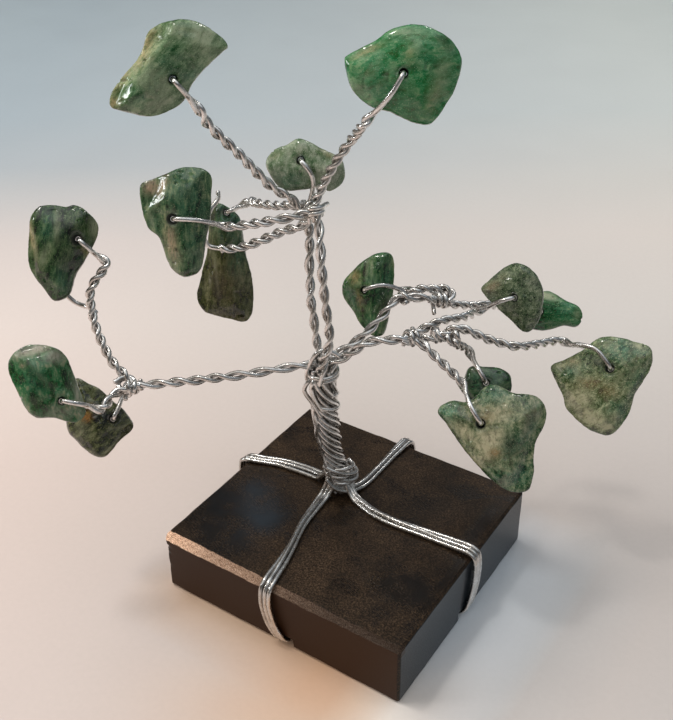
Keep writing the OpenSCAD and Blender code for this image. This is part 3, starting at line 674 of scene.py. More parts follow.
def chip_frame(i):
    hole, az, el = CHIPS[i][:3]
    a, e = math.radians(az), math.radians(el)
    n = np.array([math.cos(e) * math.cos(a), math.cos(e) * math.sin(a), math.sin(e)])
    x = np.array([-math.sin(a), math.cos(a), 0])
    return np.array(hole, float), x, np.cross(n, x), n


def half_loop(d, h):
    pts = [[d - 0.85, 1.25], [d - 1.9, min(h, 2.15)]]
    if d > 5:
        pts.append([(d - 1) / 2, h])
    return pts + [[0.95, h], [0.22, h - 0.32], [0, h - 1.1]]


def build_twigs():
    for i, line in TWIGS.items():
        hole, x, y, z = chip_frame(i)
        _, _, _, ta, d, h = CHIPS[i]
        q = math.cos(math.radians(ta)) * x + math.sin(math.radians(ta)) * y
        end = hole + d * q
        route = TWIG_FROM[i] + line + [list(end + 1.6 * q), list(end)]
        _, a, b, inward = twisted(route, 4.7 + 0.8 * math.sin(i * 2.1), seed=60 + i, end_phase=z, wander=0.11)
        half = half_loop(d, h)
        side = np.cross(z, q) * BOW.get(i, 0.0)
        bow = [side * math.sin(math.pi * min(1.0, max(0.0, v[0] / d))) for v in half]
        up = [hole + v[0] * q + v[1] * z + w for v, w in zip(half, bow)]
        down = [hole + v[0] * q - v[1] * z + w for v, w in zip(half, bow)]
        cut = 4
        loop = smooth(np.vstack([a[-cut - 4:-cut:3]] + [up, [hole], down[::-1]] + [b[-cut - 1:-cut - 5:-3]]), 0.25)
        p = np.vstack([a[:-cut - 4], loop, b[:-cut - 4][::-1]])
        k, m = len(a) - cut - 4, len(loop)
        fade = np.zeros((m, 3))
        i3 = np.vstack([inward[:k], fade, -inward[:k][::-1]])
        s = lengths(p)
        n = int(s[-1] / 0.24)
        t = np.linspace(0, s[-1], n)
        pp = np.stack([np.interp(t, s, p[:, c]) for c in range(3)], 1)
        ii = np.stack([np.interp(t, s, i3[:, c]) for c in range(3)], 1)
        strands = [(relax(pp, 3), ii)]
        if i == 6:
            # the loose end that passes below the stone
            tail = relax(even(smooth([[-44.6, -19.2, 54.9], [-44.0, -19.0, 54.2], [-43.1, -18.6, 53.4], [-41.6, -18.1, 53.0], [-40.2, -18.1, 53.1], [-39.3, -18.0, 52.4]], 0.2), 0.24), 2)
            strands.append((tail, None))
        wires(f"twig_{i:02d}_wire", strands, "tree", [f"twig_wire_{i:02d}"])
    _, a, b, inward = twisted([[-11.0, 5.6, 67.4], [-13.3, 5.2, 65.6], [-15, 4.3, 65], [-18.7, 1.8, 63.1], [-20.9, 1.0, 62.0], [-23.1, 0.1, 61.2], [-25.1, -0.7, 61.0]], 4.6, seed=91)
    hook = relax(even(smooth([[-24.9, -0.6, 61.0], [-26.8, -1.4, 61.2], [-27.5, -1.9, 62.2], [-27.6, -2.0, 64.1], [-27.3, -1.4, 66.1], [-27.1, 0.0, 67.8], [-26.9, 1.6, 68.9], [-27.3, 2.2, 69.9]], 0.2), 0.24), 2)
    wires("twig_spare_loop_wire", [(a, inward), (b, -inward), (hook, None)], "tree", ["twig_spare_loop"])


build_trunk()
build_binding()
build_roots()
build_boughs()
build_twigs()


# ---------------------------------------------------------------- stone chips
# outlines in each chip's own face, from the hole, in mm
OUTLINES = {
    1: [(1.3, 8.3), (3.6, 8.0), (6.5, 6.6), (8.6, 4.2), (7.7, 3.2), (5.2, 1.4), (3.0, -0.8), (1.1, -3.4), (-1.4, -4.6), (-3.9, -5.1), (-6.5, -4.4), (-9.3, -3.4), (-9.3, -1.7), (-7.4, 0.7), (-5.1, 2.8), (-3.9, 4.5), (-2.9, 6.7), (-1.1, 7.8)],
    2: [(-8.8, 1.7), (-8.1, 2.7), (-4.9, 4.3), (-2.1, 6.1), (0.0, 6.8), (2.3, 6.8), (5.2, 5.7), (7.2, 4.3), (8.4, 2.1), (8.1, -0.3), (7.1, -3.1), (5.6, -5.6), (4.1, -7.2), (2.0, -7.2), (-0.4, -6.3), (-2.3, -5.5), (-4.7, -4.9), (-6.6, -3.7), (-8.0, -1.4)],
    3: [(-5.7, -0.5), (-4.8, 1.3), (-3.5, 2.2), (-2.0, 2.6), (-0.4, 3.4), (1.4, 3.0), (3.2, 2.0), (5.3, 1.0), (6.7, 0.1), (7.2, -2.0), (6.6, -3.8), (4.6, -5.2), (3.0, -4.9), (0.2, -4.8), (-2.8, -4.9), (-4.5, -3.4)],
    4: [(-4.8, 4.8), (-4.3, 6.2), (-2.3, 6.8), (-0.3, 7.3), (2.0, 8.0), (4.1, 8.0), (6.3, 7.3), (7.1, 5.8), (6.6, 3.6), (6.3, 1.3), (5.9, -0.9), (4.9, -3.6), (4.3, -6.3), (3.5, -8.5), (2.1, -9.4), (0.4, -9.5), (-1.2, -8.0), (-2.0, -5.7), (-2.7, -2.8), (-4.2, -0.9), (-4.8, 1.9)],
    5: [(-1.4, 1.7), (0.4, 0.9), (2.1, -0.2), (2.7, -1.5), (2.5, -3.4), (2.7, -6.5), (3.2, -9.6), (3.7, -12.6), (3.6, -15.8), (3.1, -18.1), (1.8, -19.5), (-0.5, -18.9), (-2.9, -18.1), (-5.5, -16.8), (-6.4, -14.4), (-5.8, -12.0), (-4.9, -9.1), (-4.0, -6.5), (-3.5, -3.0), (-3.0, -0.4), (-2.4, 1.2)],
    6: [(-7.6, 2.3), (-6.9, 4.8), (-5.2, 6.2), (-2.9, 6.1), (-1.2, 5.6), (0.6, 5.7), (2.3, 4.3), (3.5, 2.4), (3.4, 0.8), (2.4, -1.3), (0.3, -3.8), (-1.4, -6.0), (-2.7, -8.7), (-4.5, -9.6), (-5.9, -9.3), (-7.1, -7.0), (-8.4, -4.3), (-8.5, -1.6)],
    7: [(-7.0, 7.5), (-6.2, 9.0), (-4.0, 10.2), (-1.4, 9.9), (1.1, 8.7), (2.3, 6.8), (2.7, 4.1), (3.2, 1.2), (3.5, -2.0), (2.9, -3.4), (1.0, -3.9), (-1.8, -2.4), (-4.5, -1.8), (-5.7, -0.3), (-6.4, 2.3), (-7.0, 5.3)],
    8: [(-5.3, 8.2), (-2.9, 6.8), (-1.2, 5.5), (0.8, 2.9), (2.4, 0.8), (3.3, -1.3), (2.7, -2.7), (0.3, -4.2), (-1.8, -6.0), (-3.5, -6.2), (-5.3, -4.9), (-6.9, -2.5), (-8.1, -0.3), (-7.4, 4.8)],
    9: [(-4.1, 0.1), (-3.6, 1.9), (-2.0, 3.6), (-0.4, 5.3), (1.4, 6.4), (3.2, 6.8), (4.5, 6.6), (5.2, 5.2), (5.4, 3.6), (5.3, 1.4), (5.2, -1.0), (4.7, -3.5), (4.4, -5.7), (3.9, -7.6), (3.2, -8.3), (1.5, -8.3), (0.2, -7.1), (-1.1, -5.5), (-2.0, -3.8), (-3.5, -1.7)],
    10: [(-6.2, 1.2), (-4.9, 2.8), (-3.3, 4.6), (-1.3, 6.0), (0.6, 6.2), (2.5, 5.3), (4.2, 3.7), (5.2, 1.3), (5.3, -1.1), (5.0, -3.3), (4.1, -5.0), (3.0, -5.9), (1.7, -5.6), (-0.5, -3.9), (-2.5, -2.3), (-4.4, -1.0), (-5.6, -0.1)],
    11: [(-2.6, 2.7), (0.6, 4.0), (2.5, 3.6), (4.4, 2.7), (6.6, 2.0), (7.7, 0.6), (7.7, -1.3), (6.7, -2.2), (4.5, -2.2), (2.4, -3.2), (0.3, -3.5), (-2.5, -2.8)],
    12: [(-10.4, -1.8), (-10.0, -0.8), (-8.0, 0.5), (-5.2, 2.8), (-3.4, 4.8), (-1.4, 5.8), (1.2, 5.9), (3.7, 5.5), (5.9, 5.0), (6.8, 3.5), (6.9, 1.2), (6.0, -1.2), (4.9, -3.9), (4.6, -7.0), (3.5, -9.8), (2.0, -11.7), (0.5, -12.0), (-1.9, -11.5), (-4.6, -10.0), (-6.7, -8.2), (-7.6, -6.1), (-9.0, -4.1)],
    13: [(-7.5, 1.3), (-6.8, 2.7), (-4.8, 3.6), (-3.0, 3.4), (-1.0, 4.7), (0.0, 6.1), (1.6, 6.8), (3.4, 6.1), (5.4, 5.4), (8.0, 5.6), (9.9, 4.4), (10.7, 2.4), (10.4, 0.4), (9.4, -2.0), (9.0, -4.4), (9.2, -7.2), (8.8, -10.1), (7.5, -11.0), (4.9, -10.8), (2.5, -9.3), (0.0, -7.2), (-2.2, -5.0), (-4.4, -2.3), (-5.9, -0.4)],
    14: [(-3.6, 1.8), (-2.6, 2.8), (-0.4, 2.9), (2.0, 2.8), (3.7, 2.0), (4.4, 0.7), (4.4, -1.2), (2.7, -4.5), (0.0, -5.1), (-2.5, -3.2), (-3.8, -0.6)],
}
CENTRES = {1: (0, 1.5), 2: (0, 0), 3: (0.8, -1.2), 4: (1.4, 0), 5: (-1.0, -9.5), 6: (-2.8, -1), 7: (-1.6, 3.2), 8: (-2.8, 0), 9: (1.6, -0.5),
           10: (0.4, 0.6), 11: (2.6, 0.3), 12: (-0.8, -2.6), 13: (3.2, -1), 14: (0.2, -0.6)}
# ridges left from before tumbling: a point on the ridge, the way the stone falls away from it, how steeply
RIDGES = {
    1: [(-2.7, 5.0, 148, 1.15), (-6.6, 1.3, 138, 1.0), (5.6, 4.6, 40, 0.5), (-1.0, -2.4, -75, 0.55), (5.4, 3.6, -50, 0.35)],
    2: [(-5.6, 2.2, 128, 0.55), (5.2, 3.6, 32, 0.6), (4.4, -2.6, -28, 0.6), (-4.8, -2.6, 225, 0.5), (1.0, 4.6, 92, 0.45)],
    3: [(-2.9, 0.6, 125, 0.5), (4.0, 0.2, 60, 0.5), (4.4, -2.8, -35, 0.5), (-2.6, -3.0, 220, 0.45)],
    4: [(-1.8, 2.6, 152, 0.95), (1.8, 6.2, 84, 0.6), (4.6, 2.4, 5, 0.5), (0.0, -4.8, 195, 0.55), (3.2, -5.2, -20, 0.5)],
    5: [(-2.9, -9.0, 172, 1.1), (1.6, -9.0, -2, 0.6), (-1.4, -17.0, 255, 0.7), (-0.6, -12.5, 200, 0.25)],
    6: [(-6.6, 1.0, 175, 1.3), (-3.4, 4.4, 88, 0.6), (0.6, 0.5, -8, 0.75), (-1.2, -4.2, -30, 0.6), (-5.4, -6.0, 215, 0.5)],
    7: [(-1.8, 8.0, 94, 1.0), (-5.2, 3.0, 178, 0.8), (1.9, 2.4, 8, 0.7), (-1.6, -0.6, 262, 0.5)],
    8: [(-5.0, 4.0, 150, 0.5), (-0.6, 3.4, 48, 0.6), (0.8, -2.4, -48, 0.8), (-5.0, -3.0, 215, 0.5), (-1.4, -1.6, -60, 0.35)],
    9: [(3.9, 1.0, 0, 0.9), (-1.4, 3.0, 132, 0.5), (-1.6, -1.2, 212, 0.6), (2.0, -5.6, 215, 0.6)],
    10: [(-3.0, 1.6, 136, 0.75), (3.8, 1.6, 18, 0.6), (3.4, -3.0, -48, 0.5), (-2.0, -0.8, 235, 0.7)],
    11: [(2.0, 2.4, 85, 0.5), (5.6, 0.2, 10, 0.5), (3.0, -1.8, -80, 0.45)],
    12: [(4.6, -1.6, -16, 0.9), (4.2, 3.6, 62, 0.55), (-4.8, 1.6, 140, 0.5), (-4.6, -6.6, 218, 0.6), (0.8, -9.6, -70, 0.5)],
    13: [(6.7, -1.4, -14, 0.75), (7.2, 3.4, 50, 0.6), (-4.8, 1.8, 120, 0.5), (-1.6, -4.0, 220, 0.6), (6.0, -8.6, -70, 0.6)],
    14: [(0.4, 1.8, 92, 0.5), (2.8, -1.0, -20, 0.5), (-2.0, -2.2, 215, 0.5)],
}


PIT_WIDE = {2: 0.95, 4: 1.35, 6: 1.35, 12: 1.2, 13: 1.2}


def distance_to_outline(xy, outline):
    a = outline
    b = np.roll(outline, -1, 0)
    best = np.full(len(xy), 1e9)
    ab = b - a
    ll = (ab ** 2).sum(1)
    for i in range(len(a)):
        ap = xy - a[i]
        t = np.clip((ap @ ab[i]) / ll[i], 0, 1)
        d = ((ap - t[:, None] * ab[i]) ** 2).sum(1)
        best = np.minimum(best, d)
    return np.sqrt(best)


def mesh_arrays(obj):
    dg = bpy.context.evaluated_depsgraph_get()
    e = obj.evaluated_get(dg)
    me = e.to_mesh()
    v = np.empty(len(me.vertices) * 3, np.float32)
    me.vertices.foreach_get("co", v)
    n = np.empty(len(me.vertices) * 3, np.float32)
    me.vertices.foreach_get("normal", n)
    faces = [tuple(p.vertices) for p in me.polygons]
    e.to_mesh_clear()
    return v.reshape(-1, 3).astype(float), n.reshape(-1, 3).astype(float), faces


def chip_shape(i):
    """the tumbled stone with its drilled hole, in the chip's own frame, in mm"""
    outline = closed_smooth(OUTLINES[i], 150)
    area = 0.5 * np.sum(outline[:, 0] * np.roll(outline[:, 1], -1) - np.roll(outline[:, 0], -1) * outline[:, 1])
    if area < 0:
        outline = outline[::-1]
    c = np.array(CENTRES[i], float)
    m, rings = len(outline), 26
    share = 1 - (1 - np.linspace(0, 1, rings + 1)[1:]) ** 2.3
    xy = c + share[:, None, None] * (outline - c)[None]
    flat = xy.reshape(-1, 2)
    depth = distance_to_outline(flat, outline)
    depth = depth.reshape(rings, m)
    depth[-1] = 0
    big = {3: 2.1, 9: 2.25, 10: 2.25, 11: 1.9, 14: 1.9}.get(i, 2.45)
    rho = 1.45 + 0.22 * noise3(np.stack([flat[:, 0] / 5, flat[:, 1] / 5, np.full(len(flat), i)], 1), 7).reshape(rings, m)
    edge = np.sqrt(np.clip(rho ** 2 - (rho - np.minimum(depth, rho)) ** 2, 0, None))
    half = np.where(depth < rho, edge, rho + (big - rho) * (1 - np.exp(-(depth - rho) / 2.4)))
    hole_near = np.exp(-(flat[:, 0] ** 2 + flat[:, 1] ** 2) / 6.0).reshape(rings, m)
    bend = 0.45 * noise3(np.stack([flat[:, 0] / 7, flat[:, 1] / 7, np.full(len(flat), i * 2.3)], 1), 11).reshape(rings, m) * (1 - hole_near)
    up, down = bend + half, half - bend
    X, Y = xy[:, :, 0], xy[:, :, 1]
    for side in (0, 1):
        surf = up if side == 0 else down
        for j, (rx, ry, az, slope) in enumerate(RIDGES[i]):
            if side:
                # the other face is worked in the same way, turned round
                az, rx, ry = az + 35 + 20 * math.sin(3.1 * i + j), c[0] + 0.8 * (rx - c[0]), c[1] + 0.8 * (ry - c[1])
            a = math.radians(az)
            near = np.argmin((X - rx) ** 2 + (Y - ry) ** 2)
            z0 = surf.ravel()[near] - 0.06
            wave = 0.10 * noise3(np.stack([X.ravel() / 2.3, Y.ravel() / 2.3, np.full(X.size, 3.3 * i + j)], 1), 70 + j).reshape(X.shape)
            plane = z0 - slope * ((X - rx) * math.cos(a) + (Y - ry) * math.sin(a)) + wave
            k = 0.07
            low = np.minimum(surf, plane) - k * np.log1p(np.exp(-np.abs(surf - plane) / k))
            surf = np.maximum(low, (0.30 * half if side == 0 else 0.45 * half))
        if side == 0:
            up = surf
        else:
            down = surf
    r_hole = np.hypot(X, Y)
    wide = PIT_WIDE.get(i, 0.95)
    up = up - 0.42 * (1 - smoothstep(0.55, wide + 0.25, np.hypot(X + 0.25 * (wide - 0.95), Y)))
    down = down - 0.30 * (1 - smoothstep(0.55, 1.15, r_hole))
    front = np.concatenate([flat, up.reshape(-1, 1)], 1)
    back = np.concatenate([flat, -down.reshape(-1, 1)], 1)
    top_mid = np.array([[c[0], c[1], up[0].mean()]])
    low_mid = np.array([[c[0], c[1], -down[0].mean()]])
    nf = rings * m
    verts = np.vstack([front, back[:nf - m], top_mid, low_mid])
    faces = []
    idx = np.arange(m)
    nxt = (idx + 1) % m
    for k in range(rings - 1):
        a, b = k * m, (k + 1) * m
        faces.extend(zip((a + idx).tolist(), (b + idx).tolist(), (b + nxt).tolist(), (a + nxt).tolist()))
        lo_a, lo_b = nf + k * m, (nf + (k + 1) * m if k + 1 < rings - 1 else (rings - 1) * m)
        faces.extend(zip((lo_a + nxt).tolist(), (lo_b + nxt).tolist(), (lo_b + idx).tolist(), (lo_a + idx).tolist()))
    tm, lm = len(verts) - 2, len(verts) - 1
    faces.extend((int(j), int(q), tm) for j, q in zip(idx, nxt))
    faces.extend((int(nf + q), int(nf + j), lm) for j, q in zip(idx, nxt))

    me = bpy.data.meshes.new("tmp_chip")
    me.from_pydata([tuple(v) for v in verts], [], faces)
    me.update()
    tmp = bpy.data.objects.new("tmp_chip", me)
    SCENE.collection.objects.link(tmp)
    drill_v, drill_f = [], []
    sides = 40
    # drilled from both sides, so the hole is narrowest where the two drillings meet
    profile = ((-8, 0.65), (-1.0, 0.65), (-0.45, 0.475), (0.45, 0.475), (1.0, 0.65), (8, 0.65))
    for zz, rd in profile:
        drill_v += [(rd * math.cos(2 * math.pi * j / sides), rd * math.sin(2 * math.pi * j / sides), zz) for j in range(sides)]
    for k in range(len(profile) - 1):
        drill_f += [(k * sides + j, k * sides + (j + 1) % sides, (k + 1) * sides + (j + 1) % sides, (k + 1) * sides + j) for j in range(sides)]
    drill_f += [tuple(range(sides - 1, -1, -1)), tuple(range((len(profile) - 1) * sides, len(profile) * sides))]
    dm = bpy.data.meshes.new("tmp_drill")
    dm.from_pydata(drill_v, [], drill_f)
    drill = bpy.data.objects.new("tmp_drill", dm)
    SCENE.collection.objects.link(drill)
    mod = tmp.modifiers.new("drill", "BOOLEAN")
    mod.operation, mod.object, mod.solver = "DIFFERENCE", drill, "EXACT"
    mod = tmp.modifiers.new("remesh", "REMESH")
    mod.mode, mod.voxel_size = "VOXEL", 0.15 if i not in (3, 11, 14) else 0.12
    mod = tmp.modifiers.new("soft", "SMOOTH")
    mod.factor, mod.iterations = 0.5, 4
    v, n, faces = mesh_arrays(tmp)
    for o in (tmp, drill):
        d = o.data
        bpy.data.objects.remove(o)
        bpy.data.meshes.remove(d)

    away = smoothstep(0.9, 1.7, np.hypot(v[:, 0], v[:, 1]))
    # rolling surface, small dents and the fine waviness that tumbling leaves
    roll = 0.11 * fbm(v / 3.0 + i * 5.1, 3 + i, 2) + 0.040 * fbm(v / 0.9 + i, 30 + i, 2)
    pits = np.clip(noise3(v / 0.9 + i * 7.7, 60 + i) - 0.66, 0, 1) * 0.75
    v = v + ((roll - pits) * away)[:, None] * n
    return v, faces


def blobs(v, spots):
    """soft patches on the stone: (x, y, rx, ry, turn, strength, side)"""
    out = np.zeros(len(v))
    for x, y, rx, ry, turn, strength, side in spots:
        a = math.radians(turn)
        dx, dy = v[:, 0] - x, v[:, 1] - y
        u = (dx * math.cos(a) + dy * math.sin(a)) / rx
        w = (-dx * math.sin(a) + dy * math.cos(a)) / ry
        g = strength * np.exp(-(u * u + w * w))
        if side:
            g = g * smoothstep(-0.8, 0.8, side * v[:, 2])
        out = np.maximum(out, g)
    return out


def srgb(r, g, b):
    return tuple(c / 255 / 12.92 if c <= 10.3 else ((c / 255 + 0.055) / 1.055) ** 2.4 for c in (r, g, b))


def rich(c, amount=1.2, gain=1.0, lift=0.0):
    g = 0.3 * c[0] + 0.6 * c[1] + 0.1 * c[2]
    return tuple(min(1.0, max(0.0015, gain * (g + amount * (x - g)) + lift)) for x in c)


def stone(name, tones, brown, pale=None, streak=60, stretch=3.5, cloud=0.35, fleck=0.5, scale=1.0, gloss=0.14, seed=0.0, sss=0.14, gain=0.92, sat=1.34, spread=1.0):
    """green aventurine: fibrous streaks, cloudy pale and brown patches, fine mica flecks painted pale as their glint, a
    tumbled polish
    """
    m, nt, bsdf = new_material(name)
    n = Nodes(nt)
    c5, c25, c50, c75, c95 = [rich(srgb(*t), sat, gain, -0.022 + 0.006 * k) for k, t in enumerate(tones)]
    brown = rich(srgb(*brown), 1.0, gain)
    pale = rich(srgb(*pale), 1.0, gain) if pale else c95
    off = (seed * 13.7, seed * 7.9, seed * 3.1)
    turn = math.radians(-streak)
    v = n.coords(rotation=(0, 0, turn), stretch=(1 / stretch, 1, 0.8))
    plain = n.coords()
    fib = n.noise(v, 0.95 * scale, 6, 0.66, 0.45, off)
    fib2 = n.noise(v, 3.4 * scale, 5, 0.62, 0.25, off)
    mot = n.noise(plain, 0.42 * scale, 6, 0.66, 0.9, off)
    grain = n.noise(plain, 3.6, 4, 0.66, 0.0, off)
    speck = n.noise(plain, 6.5, 2, 0.5, 0.0, off)
    f = n.math("ADD", n.math("MULTIPLY", fib, 0.46), n.math("MULTIPLY", mot, 0.34))
    f = n.math("ADD", f, n.math("MULTIPLY", fib2, 0.20))
    base = n.ramp(f, [(0.5 + spread * d, c) for d, c in ((-0.095, c5), (-0.042, c25), (0.0, c50), (0.045, c75), (0.11, c95))])
    base = n.mix(n.math("MULTIPLY", n.attr("green"), n.grey(fib2, 0.30, 0.62, 1.0, 0.55), True), base, n.mix(n.grey(fib, 0.38, 0.60), rich(srgb(20, 50, 37), 1.25), rich(srgb(62, 102, 82), 1.15)))
    cloud_f = n.math("MULTIPLY", n.grey(n.noise(plain, 0.26 * scale, 5, 0.65, 0.6, (off[0] + 40, off[1], off[2])), 0.50, 0.64), cloud, True)
    cloud_f = n.math("MAXIMUM", cloud_f, n.math("MULTIPLY", n.attr("pale"), n.grey(fib, 0.34, 0.56, 0.45, 1.5), True))
    base = n.mix(n.math("MULTIPLY", cloud_f, 0.9), base, pale)
    brown_f = n.math("MULTIPLY", n.attr("brown"), n.grey(fib2, 0.36, 0.58, 0.4, 1.3), True)
    base = n.mix(brown_f, base, brown)
    base = n.mix(n.math("MULTIPLY", n.attr("dark"), n.grey(fib, 0.3, 0.7, 1.0, 0.75), True), base, tuple(0.45 * c for c in c5))
    # mica flecks: real inclusions, painted bright as a glint of their sparkle
    lights = n.math("MULTIPLY", n.grey(speck, 0.62, 0.68), fleck, True)
    base = n.mix(lights, base, tuple(min(1.0, 1.5 * c + 0.03) for c in c95))
    darks = n.math("MULTIPLY", n.grey(grain, 0.41, 0.33), 0.6, True)
    base = n.mix(darks, base, tuple(0.6 * c for c in c5))
    # painted shade inside the drilled hole: near black
    base = n.mix(n.attr("hole"), base, (0.006, 0.010, 0.006))
    n.link(base, bsdf.inputs["Base Color"])
    rough = n.math("ADD", n.grey(grain, 0.35, 0.65, gloss - 0.04, gloss + 0.10), n.math("MULTIPLY", n.attr("hole"), 0.5))
    n.link(rough, bsdf.inputs["Roughness"])
    bsdf.inputs["IOR"].default_value = 1.54
    bsdf.inputs["Subsurface Weight"].default_value = sss
    bsdf.inputs["Subsurface Radius"].default_value = (0.55, 1.0, 0.62)
    bsdf.inputs["Subsurface Scale"].default_value = 0.0011
    coat = n.math("SUBTRACT", 0.45, n.math("MULTIPLY", n.attr("hole"), 0.45), True)
    n.link(coat, bsdf.inputs["Coat Weight"])
    bsdf.inputs["Coat Roughness"].default_value = 0.05
    bsdf.inputs["Coat IOR"].default_value = 1.5
    b1 = n.bump(fib2, 0.16, 0.00008)
    n.link(n.bump(grain, 0.12, 0.00004, b1), bsdf.inputs["Normal"])
    return m


